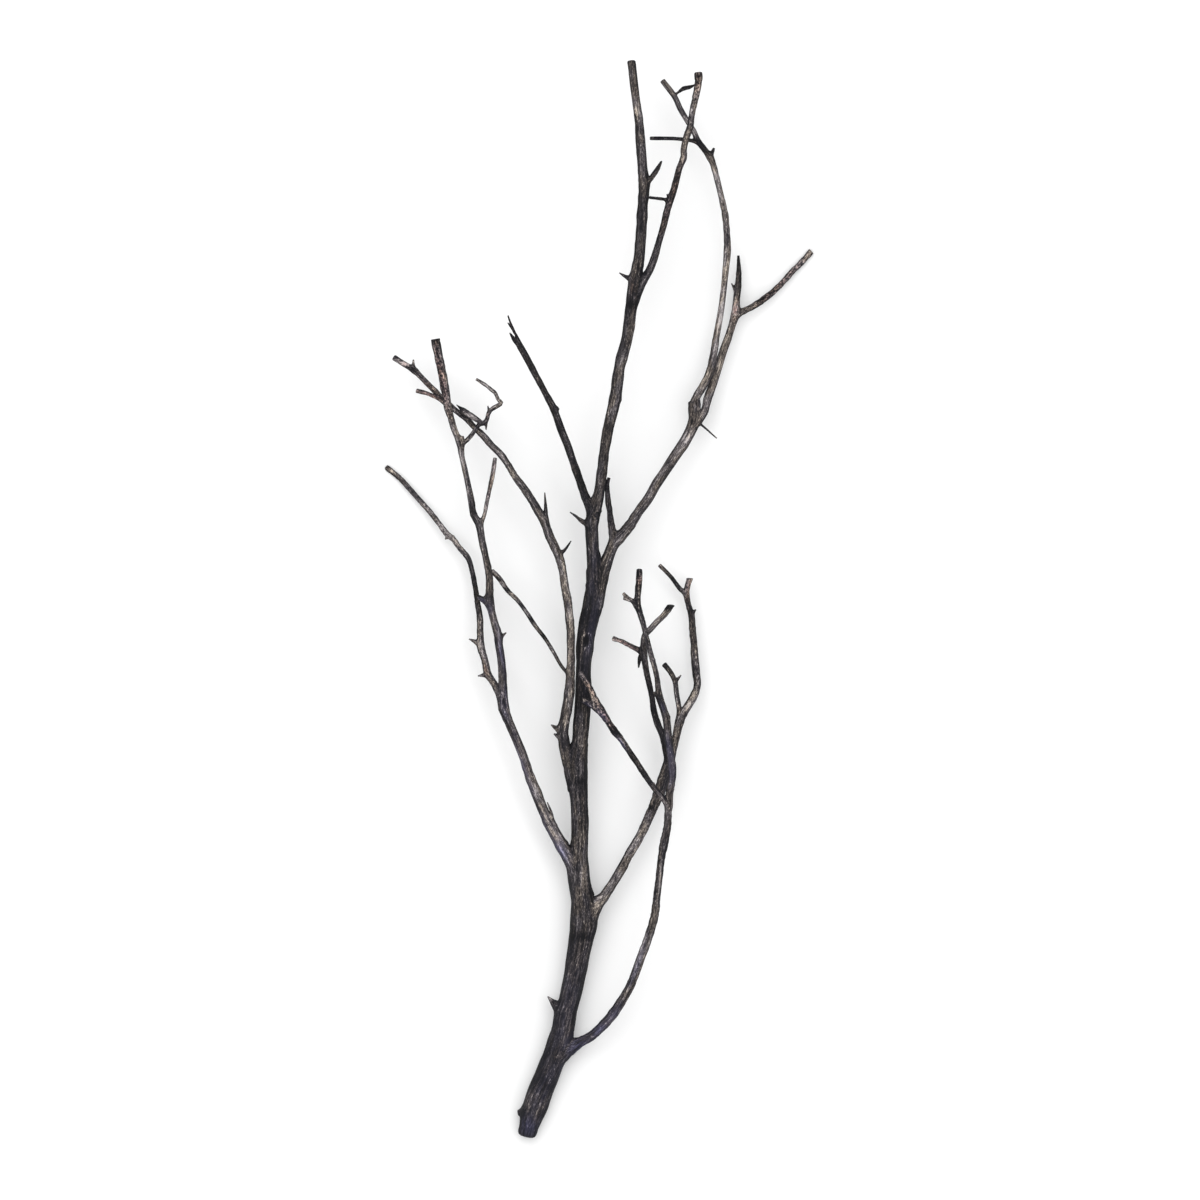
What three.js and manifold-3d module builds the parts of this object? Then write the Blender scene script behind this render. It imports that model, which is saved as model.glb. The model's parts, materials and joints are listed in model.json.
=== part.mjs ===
// A dry, dark, many-armed branch of a shrub, cut for arranging, lying on a flat surface.
// Millimetres, +Z up. It grew as one piece, so it is one closed solid.
//
// Every limb follows a route. A route is a list of points [across, down, height, width]:
// across and down are read off a full-size drawing sheet from its left and top edges, height
// is the height of the limb's middle over the surface, and width is the limb's diameter there.

import * as THREE from 'three';
import { mergeVertices } from 'three/addons/utils/BufferGeometryUtils.js';
import Module from 'manifold-3d';

// The point of the drawing sheet that lies over the origin.
const SHEET_MIDDLE = { across: 599.365, down: 599.91 };

// Sides round a limb, the longest step along it, and what its bark adds to the widths of its route.
const STEM = { sides: 10, step: 24, bark: 0.9 };
const LIMB = { sides: 7, step: 18, bark: 0.8 };
const TWIG = { sides: 6, step: 18, bark: 0.7 };
const THORN = { sides: 5, step: 16, bark: 0.2 };

// How far a limb's section departs from round, as shares of its radius.
const OVAL = 0.06;
const THREE_CORNERED = 0.045;
// How fast the oval and the three corners turn along the limb, in radians for each millimetre.
const OVAL_TWIST = 0.035;
const CORNER_TWIST = -0.06;

// Vertices closer than this are one vertex.
const WELD = 1e-5;

// A rounded end: how far it stands past the last point, and how wide it is there, in widths.
const DOME = { reach: 0.22, width: 0.62 };

// The block under the surface that takes off what would reach below it.
const SURFACE_CUT = { length: 2000, depth: 100 };

const BARK = { color: 0x3a3532, roughness: 0.82, metalness: 0 };

const wasm = await Module();
wasm.setup();

// A solid from a closed geometry.
function solidFrom(geometry) {
  const bare = geometry.clone();
  bare.deleteAttribute('normal');
  bare.deleteAttribute('uv');
  const welded = mergeVertices(bare, WELD);
  return new wasm.Manifold(new wasm.Mesh({
    numProp: 3,
    vertProperties: new Float32Array(welded.attributes.position.array),
    triVerts: new Uint32Array(welded.index.array),
  }));
}

// The places along a route where its rings go, each with its middle and its width.
function stationsAlong(route, { step, bark }) {
  const points = route.map(([across, down, height]) => new THREE.Vector3(
    across - SHEET_MIDDLE.across,
    SHEET_MIDDLE.down - down,
    height,
  ));
  const curve = new THREE.CatmullRomCurve3(points, false, 'centripetal');
  const spans = points.length - 1;
  const stations = [];
  for (let span = 0; span < spans; span += 1) {
    const pieces = Math.max(1, Math.ceil(points[span].distanceTo(points[span + 1]) / step));
    for (let piece = 0; piece < pieces; piece += 1) {
      const share = piece / pieces;
      stations.push({
        middle: curve.getPoint((span + share) / spans),
        width: THREE.MathUtils.lerp(route[span][3], route[span + 1][3], share) + bark,
      });
    }
  }
  stations.push({ middle: points[spans], width: route[spans][3] + bark });
  return stations;
}

// A rounded end is one narrower ring past the last one.
function domePast(last, before) {
  const outward = last.middle.clone().sub(before.middle).normalize();
  const middle = last.middle.clone().addScaledVector(outward, last.width * DOME.reach);
  return { middle, width: last.width * DOME.width };
}

// The tapered limb along a route: a cylinder whose rings are carried to the route's stations.
// Its end is rounded or plainly cut, and its start, which is mostly buried, is rounded if named.
function limbAlong(route, kind, end = 'dome', start = 'cut') {
  const stations = stationsAlong(route, kind);
  if (end === 'dome') stations.push(domePast(stations.at(-1), stations.at(-2)));
  if (start === 'dome') stations.unshift(domePast(stations[0], stations[1]));
  const rings = stations.length - 1;

  const frames = [];
  let side = null;
  let travelled = 0;
  stations.forEach((station, index) => {
    const next = stations[Math.min(index + 1, rings)].middle;
    const previous = stations[Math.max(index - 1, 0)].middle;
    const along = next.clone().sub(previous).normalize();
    if (side === null) side = new THREE.Vector3(0, 0, 1).cross(along).normalize();
    side = side.clone().addScaledVector(along, -side.dot(along)).normalize();
    if (index > 0) travelled += station.middle.distanceTo(previous);
    frames.push({ side, other: side.clone().cross(along), travelled });
  });

  const geometry = new THREE.CylinderGeometry(1, 1, rings, kind.sides, rings);
  const position = geometry.attributes.position;
  const vertex = new THREE.Vector3();
  for (let i = 0; i < position.count; i += 1) {
    vertex.fromBufferAttribute(position, i);
    const ring = Math.round(vertex.y + rings / 2);
    const frame = frames[ring];
    const angle = Math.atan2(vertex.z, vertex.x);
    const uneven = 1
      + OVAL * Math.sin(2 * angle + OVAL_TWIST * frame.travelled)
      + THREE_CORNERED * Math.sin(3 * angle + CORNER_TWIST * frame.travelled);
    const radius = Math.hypot(vertex.x, vertex.z) * uneven * stations[ring].width / 2;
    vertex.copy(stations[ring].middle);
    vertex.addScaledVector(frame.side, radius * Math.cos(angle));
    vertex.addScaledVector(frame.other, radius * Math.sin(angle));
    position.setXYZ(i, vertex.x, vertex.y, vertex.z);
  }
  return solidFrom(geometry);
}

const stem = [
  limbAlong([
    [527, 1133, 9.2, 20], [532.4, 1113, 10.6, 22], [539.4, 1093, 12.4, 23], [549, 1070, 14, 22],
    [556.6, 1047, 16, 21.6], [561.8, 1032, 17, 22.4], [565, 1016, 18, 22.4], [570.6, 994, 20, 21.2],
    [575.7, 971, 22, 20.6], [581, 940, 24, 22], [582.6, 924, 25, 22.4], [581, 893, 28, 19.4],
    [579.6, 878, 29, 18.7], [580, 832, 33, 17], [579, 801, 36, 17.3], [578.3, 786, 37, 18.4],
    [577.8, 765, 38, 19.4], [580.4, 740, 40, 14.2], [581.6, 721, 41, 14.4], [583, 700, 43, 14.8],
    [584, 662, 45, 14.8], [587, 632, 47, 17.4], [592.7, 601, 49, 17.2], [594, 565, 51, 12.5],
    [593, 545, 52, 11.3], [592.3, 520, 54, 12], [597.4, 500, 56, 10.6], [601.5, 476, 57, 10.2],
    [604.6, 451, 58, 9], [609, 426, 59, 10], [615, 399, 60, 10.7], [619.4, 368, 62, 9.6],
    [627.4, 337, 64, 10.7], [630.8, 310, 65, 11.4], [634, 282, 66, 12], [639, 259, 67, 10.2],
    [641, 239, 68, 9.8], [642, 221, 69, 9.4], [643, 204, 69, 9.1], [644, 186, 70, 10],
    [642.5, 168, 70, 8.5], [641.3, 150, 70, 8.6], [640.5, 139, 70, 8.9], [639.3, 121, 70, 7.9],
    [636.6, 104, 70, 7.5], [634.3, 86, 69, 7.8], [631.5, 63, 68, 7.4],
  ], STEM, 'dome', 'dome'),
  // The knob beside the cut end, the low thorn, the two thorns near the top and the torn blade.
  limbAlong([[528, 1112, 10, 9], [521, 1113, 10, 7.5], [517.4, 1113.5, 10, 4]], THORN),
  limbAlong([[562, 1013, 19, 15], [555, 1004.5, 19, 8], [550.6, 999.4, 19, 4], [547, 996, 19, 1]], THORN),
  limbAlong([[592, 524, 54, 8], [584, 521.4, 55, 5], [577, 516, 56, 3], [570.4, 511.4, 57, 0.9]], THORN),
  limbAlong([[635, 280, 66, 7], [627, 277, 66, 4], [619.6, 272.7, 66, 0.9]], THORN),
  limbAlong([[644, 186, 70, 7], [650.8, 178.6, 71, 5], [657.7, 168.5, 71, 4.4], [661.4, 161.6, 71, 1.6]], THORN),
  limbAlong([[614, 399, 60, 9], [620.5, 398.5, 60, 4]], THORN),
];

const darkTopLimb = [
  limbAlong([
    [596, 514, 55, 11], [588, 502, 55, 8], [581, 483.4, 56, 6.9], [574, 462.6, 58, 6.5],
    [569, 447.2, 60, 6.5],
    [561.4, 428.6, 62, 6.6], [554.6, 410, 64, 6.8], [545.8, 393, 66, 6], [536.6, 376.5, 68, 5.7],
    [527.5, 360, 70, 5.7], [521, 347, 72, 5.6], [515, 336, 73, 5.2], [511.8, 327, 74.5, 3.8],
    [508.8, 315.5, 75, 1.6],
  ], LIMB, 'cut'),
  // Two slivers of the splintered end, and the small node half way.
  limbAlong([[515.5, 338, 73, 4], [510.6, 330, 75, 2.6], [508, 323, 76, 1]], THORN),
  limbAlong([[517, 341, 72, 4], [512.6, 336.5, 71, 2.6], [510, 333, 71, 1]], THORN),
  limbAlong([[555, 410, 64, 6], [558, 407.5, 64, 3.4]], THORN),
];

const thickRightLimb = [
  limbAlong([
    [596, 606, 49, 12], [604, 571, 50, 10.4], [607.8, 558, 50, 10.5], [613.6, 544, 49, 10.5],
    [620, 536.5, 48, 10.8], [629, 526, 46, 10], [638.2, 511.4, 44, 9.1], [648, 498, 42, 9.5],
    [656, 484, 40, 9.5], [666, 469, 37, 9.5], [675.8, 454.6, 35, 9.8], [686.4, 438.4, 32, 10],
    [693, 424, 30, 10], [694.8, 411, 29, 9.4], [694.6, 404, 28.5, 8],
  ], LIMB),
  // The stub between it and the stem, the thin thorn under the fork, and the bump on the left.
  limbAlong([
    [614, 540, 49, 8], [611, 521, 50, 6], [609, 508, 51, 5.7], [607.8, 494, 52, 4.5], [607.3, 483, 52, 4],
    [609.3, 477, 52, 2.6],
  ], TWIG, 'cut'),
  limbAlong([[693.5, 408, 29, 7], [691.4, 402, 29, 4]], THORN),
  limbAlong([[693, 414, 30, 5], [701, 423, 29, 2.4], [709, 430, 28, 1.7], [717, 437, 27, 0.9]], THORN),
];

const whip = [
  limbAlong([
    [694.6, 410, 29, 8.4], [696.4, 397, 28, 7.4], [703.2, 385, 28, 7.4], [710, 371, 28.5, 7],
    [714.3, 351, 30, 6.4],
    [717, 334, 31, 5.8], [720.5, 314, 32.5, 5.8], [723.5, 291, 34, 5.8], [726, 267, 36, 6],
    [727.6, 250, 37, 6.4], [727.6, 239, 38, 6], [726.7, 226, 39, 5.8], [725.4, 214, 40, 5.6],
    [722.7, 201, 41, 4.9], [719, 186, 42, 4.6], [714.8, 169, 43, 5], [711.2, 158, 44, 5.8],
    [705, 149, 45, 5.5], [699, 141, 46, 5], [693.8, 130.4, 46.5, 5], [688, 120.8, 47, 5],
    [680.6, 108.6, 48, 5], [674.8, 96.4, 49, 5], [663.2, 81, 50, 4.9],
  ], LIMB),
  limbAlong([[709.6, 155.5, 44, 4], [712, 151.5, 44.5, 3], [713.6, 147.4, 45, 1.4]], THORN),
  limbAlong([
    [698, 141.5, 46, 3.4], [689, 139.3, 46, 3], [676, 138, 46.5, 2.9], [663, 137.7, 47, 2.9],
    [651, 137.6, 47, 2.8],
  ], TWIG),
  limbAlong([
    [673.6, 95, 49, 3.4], [680.2, 91.2, 49.5, 3], [684.4, 87.6, 50, 5], [689.8, 86.5, 50, 3.9],
    [694.6, 84.4, 50, 1.4],
  ], THORN),
];

const spikyBranch = [
  limbAlong([
    [696.5, 423, 30, 8], [704, 411, 27, 7.2], [708.2, 398, 24, 7], [714.2, 380, 21, 7], [719, 365, 20, 7],
    [724, 349, 19, 7], [729.3, 334, 18, 7], [733, 322, 17, 7], [736, 310, 16, 8], [737, 297, 16.5, 6],
    [738.5, 284, 17, 6.2], [739.3, 270, 17.5, 4.6], [738.8, 254, 18, 1.4],
  ], LIMB, 'cut'),
  limbAlong([[737.8, 292, 17, 4.4], [735, 287, 17, 3.2], [732, 282, 17, 0.9]], THORN),
  limbAlong([
    [737, 313, 16, 6.4], [745, 309, 15, 5.6], [753, 305, 13.6, 5.4], [762, 299, 12, 6], [773, 290.5, 10, 5],
    [782, 282, 8, 5], [793, 270, 6, 5], [802.4, 260.4, 4, 5], [811.8, 249.6, 2, 5.6],
  ], TWIG),
];

const uprightTopLimb = [
  limbAlong([
    [634, 302, 65, 8], [638.5, 291, 66, 7.4], [644, 279.5, 68, 7], [650.8, 267, 70, 6.7],
    [655.3, 254.5, 72, 6],
    [659.3, 241, 74, 5.4], [663, 228.6, 76, 5.6], [666, 216, 78, 5.8], [668.2, 207, 80, 6],
    [670, 201, 81, 6.5], [673, 192, 82, 6.2], [676.4, 179.5, 83.5, 5.8], [679.9, 167, 85, 5.6],
    [683.4, 158, 86, 6.2], [683.6, 151, 86.5, 5.6], [684.8, 144, 87, 5.8], [687, 136.6, 87.5, 5.8],
    [690.2, 127.7, 88, 5.8], [691.6, 117, 88.5, 4.9], [693.2, 108, 89, 5.2], [695.3, 99, 89.5, 5.7],
    [697.4, 87, 90, 5.8], [698.3, 80, 90, 6.2], [698, 75.6, 90, 7.4],
  ], LIMB),
  limbAlong([
    [669, 201, 81, 4], [664.6, 199.8, 81, 3.1], [657, 198.8, 81.5, 2.8], [650, 198.1, 82, 2.6],
  ], THORN),
  limbAlong([[670, 200, 81, 4], [667, 194.8, 82, 1]], THORN),
];

const middleLeftLimb = [
  limbAlong([
    [579, 884, 30, 13], [571.4, 862, 32, 12], [562.6, 846.4, 34, 11.4], [553.6, 829.4, 36, 11],
    [545.2, 812.9, 38, 10], [537.6, 794.5, 40, 9.6], [530.1, 776.2, 41.5, 9.2], [524.1, 757.6, 43, 8.6],
    [518, 741.6, 44, 8.2], [510.4, 723.6, 45, 8.2], [504.7, 708, 46, 9], [503.2, 685, 47, 7.6],
    [502.4, 670, 47, 7], [501, 655, 47.5, 6.9], [499.3, 644, 48, 7], [498.6, 635, 48, 7.5],
    [494.7, 621, 48, 7], [491.7, 609, 48.5, 7], [490, 599.7, 49, 8], [489.9, 586, 50, 7.2],
    [489.4, 574, 50, 7], [485.6, 555, 50.5, 5.8], [482.5, 541, 51, 6], [479.4, 523.6, 51.5, 6.5],
    [474, 513, 52, 6], [471.8, 500.6, 53, 5.5], [469.1, 487, 53.5, 4.9], [465.8, 471.5, 54, 4.9],
    [462, 455, 55, 4.9], [460.3, 442.5, 56, 6], [455.3, 430, 56.5, 5.3], [451.6, 418, 57, 6],
    [448.4, 406, 58, 7.5], [446.5, 393.5, 59, 7.5], [444.2, 381, 59.5, 8.2], [441.2, 366, 60, 8.2],
    [438, 350.6, 60.5, 7.5], [436, 339, 61, 7.8],
  ], LIMB, 'cut'),
  // The sliver under the fork, the short spur, and the stub opposite.
  limbAlong([[552, 826, 37, 6], [552, 814, 41, 3], [547.6, 801.5, 44, 0.9]], THORN),
  limbAlong([[499, 637, 48, 5], [503, 634.5, 48, 3], [506.4, 631.7, 48, 1]], THORN),
  limbAlong([[489.6, 602.6, 49, 6], [484, 599.4, 49, 5.2], [479, 596.2, 49, 4.6]], THORN),
  // The straight twig half way up.
  limbAlong([
    [480, 526, 51.5, 4], [482.6, 519.6, 52, 3.4], [484.8, 513.4, 53, 3], [487, 502, 54, 3.2],
    [490.2, 487, 55, 3.4], [493.2, 473, 56, 3.6], [495.4, 458, 57, 3.4],
  ], TWIG),
  // The kinked twig with its knob, its barb, its thorn and its second, sharp arm.
  limbAlong([
    [460.5, 441, 56, 5.4], [466, 440.6, 57, 4], [470.4, 436, 57.5, 3.4], [475.6, 429, 58, 3.4],
    [479.6, 424, 58.3, 3.6], [485, 422, 58.5, 3.6], [487.4, 418, 58.6, 3.4], [489.4, 411.6, 59, 3.4],
    [493.4, 407.6, 59.5, 3.6], [498.2, 404.8, 60, 3.8], [501.4, 402.4, 60, 3.4], [498.6, 398.8, 60.3, 3.2],
    [496, 393, 60.8, 3], [490.6, 388, 61.2, 3], [484.4, 383.4, 61.5, 2.8], [477.4, 378.8, 62, 2.6],
  ], TWIG),
  limbAlong([[462, 444, 56, 6], [462.4, 437, 57.5, 4.4]], THORN),
  limbAlong([[490, 412, 59, 3], [488.8, 408.4, 59, 2], [488.2, 405.4, 59, 0.9]], THORN),
  limbAlong([[486, 419.5, 58.5, 3.6], [486.5, 424.4, 58.5, 2.4], [486.5, 429, 58.5, 0.9]], THORN),
  limbAlong([
    [482.4, 422, 58.5, 3.6], [474, 415.6, 58, 4.8], [464.6, 409, 57.5, 4.2], [456.8, 404, 57, 1.2],
  ], THORN),
];

const lowLeftTwig = [
  limbAlong([
    [504, 708, 46, 8], [500, 694.6, 45, 7], [494, 682.4, 43, 6.2], [488, 673, 41, 6.5], [484.8, 658, 39, 6],
    [481, 645.6, 37, 7], [480.5, 632, 34.5, 5.8], [480, 616.5, 32, 5.8], [477.4, 601, 29.5, 5],
    [475.2, 586, 27, 4.6], [472.2, 570.6, 24.5, 5], [468, 557, 22, 5], [459, 546, 19.5, 4.6],
    [452.7, 537.4, 17, 4.8], [447.3, 533.2, 16, 5.3], [438.2, 521.3, 13.6, 4.3], [428.7, 509.5, 11, 4.2],
    [418.4, 498, 8.6, 4.4], [409.2, 487.4, 6.4, 4.2], [399.6, 477, 4.2, 4.4], [386.8, 466.4, 1.8, 5],
  ], TWIG),
  limbAlong([[489, 674, 41, 5.6], [484, 674.2, 41, 4], [478.4, 675, 41, 1]], THORN),
  limbAlong([[481, 644, 37, 6], [475, 640.6, 37, 4], [469.4, 638.1, 37, 1]], THORN),
  limbAlong([[448, 535.5, 16, 4.4], [445.2, 538, 16, 1]], THORN),
];

const upperLeftLimb = [
  limbAlong([
    [574.4, 790, 38, 11.4], [568.2, 764, 40, 9.6], [565, 748, 41, 9.4], [563.8, 736, 43, 9.6],
    [563, 729, 44, 10.3],
    [565.4, 718, 46, 9.8], [567.3, 708, 47, 10], [568.7, 699, 48, 10], [570, 686, 49.5, 9.2],
    [570.4, 672, 51, 8.4], [571, 659, 52, 7.4], [571, 647, 53, 7.3], [571, 632, 54, 7.5],
    [569.8, 616.5, 54.5, 7.8], [568.2, 601, 55, 8], [565.2, 586, 55.5, 7], [563, 570.6, 56, 6.6],
    [560, 558.4, 57, 8], [556.4, 549.4, 57, 8], [549.6, 534.6, 57, 7.6], [545, 521, 57, 8.4],
    [538.8, 510.6, 56.5, 8], [531.6, 498.3, 56, 7.4], [523.2, 486.1, 55.5, 7.2], [515.5, 475.9, 55, 6.5],
    [508.2, 463.9, 53.5, 6], [500.5, 453.2, 52, 5.9], [491.2, 443.8, 51, 6], [482.6, 433.8, 50, 5.8],
    [476.4, 428.2, 49, 4.9], [467.6, 418.8, 48, 4.9], [459.6, 412.6, 47, 4.9], [451.8, 406.6, 46, 5],
    [443.5, 399.6, 45, 5], [435.8, 391, 44, 5], [428, 383, 43, 5], [419, 373.6, 42, 5],
    [414.4, 369, 41.5, 6], [406.7, 364.4, 41, 5], [400.6, 360.6, 40.5, 5], [395, 357, 40, 5],
  ], LIMB),
  limbAlong([[563, 729, 44, 8], [557, 727.4, 45, 5.6], [551.6, 724, 46, 1.2]], THORN),
  limbAlong([[564, 737, 43, 8], [558.6, 735.6, 43.6, 5], [555, 732.6, 44, 1.8]], THORN),
  limbAlong([[560, 553, 57, 4.4], [565, 549, 57.5, 2.8], [571.2, 540.2, 58, 0.9]], THORN),
  limbAlong([[546, 519, 57, 5.4], [546, 510, 58, 3.6], [545, 492, 59, 0.9]], THORN),
  limbAlong([[414, 370, 41.5, 4.8], [413.6, 364, 42, 3], [413.6, 359, 42, 1.2]], THORN),
  // The side twig near its end.
  limbAlong([
    [450, 404.4, 46, 4.4], [442, 399.4, 47.5, 4], [434, 395.4, 47.5, 3.3], [426.4, 392.4, 47, 3.3],
    [417.4, 390.1, 46.5, 3.4],
  ], TWIG),
  // The long thin twig that grows back towards the left, thicker at its tip than at its root.
  limbAlong([
    [569.5, 673, 51, 3.4], [565, 669.2, 51, 2.6], [560.7, 663.5, 50.5, 2.6], [554.5, 652.5, 50, 2.8],
    [545.3, 637.5, 48.5, 3], [535, 624, 46.5, 3.4], [526.9, 611.4, 45, 3.4], [517.8, 599.4, 44, 3.4],
    [507.6, 589.2, 43, 4], [499.7, 578, 42, 4.8], [492.6, 570.4, 41, 4.3],
  ], TWIG),
];

const rearRightLimb = [
  limbAlong([
    [586, 921, 26, 14], [595.6, 906, 26, 12], [602.5, 898, 25, 9.4], [611.6, 884.6, 24, 8.2],
    [621.4, 869, 23, 8.4], [630, 853, 22.5, 8], [639, 838, 22, 8], [646.4, 822.4, 22, 9],
    [652.4, 808.6, 22, 9.2], [658, 794.6, 22.5, 10], [661.6, 786, 23, 11.4], [664.3, 776.6, 23.5, 11],
    [668, 767, 24, 11], [671.4, 757, 24.5, 8], [673.7, 748, 25, 6.7], [675.4, 740, 25, 6.5],
    [677.7, 729, 25.5, 7.2], [680, 719.5, 26, 8], [683.7, 712, 25.5, 7.4], [690, 702, 24, 7],
    [695, 693, 22, 6.5], [697.8, 684, 20, 6.4], [696.5, 671, 19, 6.9], [695.2, 655, 18, 6.8],
    [694, 639.5, 18, 6.3], [692.7, 627, 18, 6.2], [692, 616.5, 18.5, 6], [688.8, 604, 19.5, 5],
    [686.9, 593.6, 20, 5.2], [688, 584.6, 21, 5], [690, 577.8, 22, 5.2],
  ], LIMB),
  limbAlong([
    [680.4, 721, 26, 6], [679, 706, 27, 4], [676.8, 693, 28, 4], [675.5, 682, 29, 4],
    [673, 675.3, 30, 4], [669.3, 669.2, 31, 4.2], [664.9, 663.9, 32, 4.4],
  ], TWIG),
  limbAlong([[676, 680.5, 29, 3.4], [678.4, 677.6, 29, 2.6], [681.2, 674.4, 29, 1]], THORN),
  limbAlong([[691.6, 614, 18.6, 5], [695.9, 608.8, 18.6, 1.4]], THORN),
  limbAlong([
    [687, 594, 20, 4.2], [679.6, 587, 21.6, 3.6], [674.4, 580, 23, 3.5], [668, 572.4, 24.5, 3.5],
    [660.2, 564.8, 26, 3.4],
  ], TWIG),
  // The dark stem that leaves the fork towards the left, with its side twig and its torn thorn.
  limbAlong([
    [668, 768, 24, 7], [667.6, 758.6, 27, 6], [665.6, 748, 30.5, 5.8], [662.4, 734, 35, 5.7],
    [657.3, 721.6, 39, 5.7], [654, 709, 42.5, 5.2], [652.4, 697, 45.5, 4.8], [649.9, 684.6, 48.5, 5],
    [646.5, 670, 52, 5.5], [644.2, 655, 55, 6.4], [643.5, 643, 58, 6], [644.8, 634.4, 60, 5.4],
    [651, 627.5, 62, 5.4], [657.5, 620.4, 64, 5.4], [663.9, 614.4, 66.5, 5.4], [670.8, 604.6, 69, 6],
  ], TWIG),
  limbAlong([
    [644, 653, 55, 4.6], [636.5, 647.6, 54, 4.8], [630, 644.6, 52.5, 4], [624, 641.4, 51, 3.8],
    [618.9, 639.4, 50, 3.5], [614, 637.8, 49, 4.6],
  ], TWIG),
  limbAlong([[643, 652, 55, 4.6], [640, 657.6, 54, 4.2], [638.8, 666.4, 53, 1.2]], THORN),
];

const frontRightLimb = [
  limbAlong([
    [560, 1055, 17, 16], [572, 1046.6, 18.5, 13], [582.5, 1040.8, 20, 10], [593, 1035.4, 24, 9],
    [604, 1024, 28, 8.7], [613, 1013.5, 32, 9], [622, 1000, 36, 8.7], [630, 986, 40, 8.4],
    [636, 970.6, 44, 8], [641.4, 955, 48, 8], [647, 940, 52, 7.8], [654.5, 916, 56.5, 7.3],
    [656.8, 898, 60, 6.5], [659, 878, 64, 5.9], [661.4, 856, 68, 6.5], [664.4, 839.5, 71, 7.8],
    [667.5, 824, 74, 7.2], [668.3, 810, 76, 6.8], [669, 801, 77, 7.5], [669.8, 790.5, 77.5, 7.5],
    [672, 778, 78, 7], [672.3, 767.6, 77.5, 7], [671, 755, 77, 6.8], [669, 742, 76.5, 6.4],
    [667.6, 729, 76, 6.2], [666.3, 717, 76, 6.5], [663, 706, 76.5, 6], [660, 697, 77, 6],
    [658.2, 686, 78.5, 4.6], [657, 676, 80, 4.3], [654.6, 666, 82, 4.4], [651.2, 655, 84, 4.5],
    [648, 642, 86, 4.5], [645.5, 632, 87, 4.6], [643, 621.6, 88, 5], [639.7, 611, 89, 5.4],
    [637.8, 602.5, 90, 5.8], [638.1, 591, 91, 6], [639, 582, 92, 6], [639.4, 569.6, 93, 5],
  ], LIMB),
  limbAlong([[666.6, 716, 76, 5.6], [668.6, 714.6, 76, 3.6]], THORN),
  limbAlong([[660, 697, 77, 5], [656.6, 694, 77, 4], [654, 692, 77, 3.2]], THORN),
  limbAlong([
    [636.8, 607, 90, 3.8], [632.4, 600.2, 90.5, 3.6], [627.6, 597, 91, 3.6], [623.8, 592.8, 91.5, 2.6],
  ], TWIG),
  limbAlong([[629.4, 598.6, 91, 3], [624, 598, 91, 2.4]], THORN),
  // The knotted twig that crosses over the stem, with the thin sliver and the broken stub on it.
  limbAlong([
    [669.2, 803.6, 77, 6], [663.6, 797.8, 79.5, 5.2], [659.4, 792.8, 81, 4.9], [652.2, 784, 83, 4.6],
    [644.6, 773, 84, 4.8], [637, 761, 84, 4.9], [629.3, 749.7, 84, 5], [621.6, 738, 84, 5.2],
    [615.3, 730.6, 83.5, 6.9], [610, 723, 83.5, 6], [605, 715, 83, 6.5], [599, 706.5, 82, 8],
    [594.8, 697.4, 81, 6], [589.7, 686, 80, 5], [584.6, 678, 79, 4.8], [581.4, 671.8, 78, 4.6],
  ], LIMB),
  limbAlong([[653.6, 786, 83, 3], [652.2, 780.4, 85, 1]], THORN),
  limbAlong([[601, 709.6, 82, 6], [592.6, 703.6, 79, 6], [584.6, 699.2, 76, 5.6]], TWIG, 'cut'),
];

// Everything is joined into one solid, which is then cut level with the surface.
const grown = [
  ...stem, ...darkTopLimb, ...thickRightLimb, ...whip, ...spikyBranch, ...uprightTopLimb,
  ...middleLeftLimb, ...lowLeftTwig, ...upperLeftLimb, ...rearRightLimb, ...frontRightLimb,
].reduce((whole, limb) => whole.add(limb));

const belowSurface = new THREE.BoxGeometry(SURFACE_CUT.length, SURFACE_CUT.length, SURFACE_CUT.depth);
belowSurface.translate(0, 0, -SURFACE_CUT.depth / 2);
const lying = grown.subtract(solidFrom(belowSurface));

function geometryFrom(solid) {
  const mesh = solid.getMesh();
  const geometry = new THREE.BufferGeometry();
  geometry.setAttribute('position', new THREE.BufferAttribute(new Float32Array(mesh.vertProperties), 3));
  geometry.setIndex(new THREE.BufferAttribute(new Uint32Array(mesh.triVerts), 1));
  geometry.computeVertexNormals();
  return geometry;
}

const branch = new THREE.Mesh(geometryFrom(lying), new THREE.MeshStandardMaterial(BARK));
branch.name = 'branch';

const part = new THREE.Group();
part.add(branch);

export default part;
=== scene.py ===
# %% [markdown]
# # A dry, dark, many-armed branch
#
# The real object is one cut branch of a shrub: a stem as thick as a finger, long crooked
# limbs, thin twigs, thorns and broken stubs, all grown as one piece. It lies on a flat
# surface, on three low points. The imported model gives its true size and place. This script
# grows the same branch again with finer bark, real crotches and a finish, and leaves the
# size as it is.

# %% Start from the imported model
import json

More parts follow.
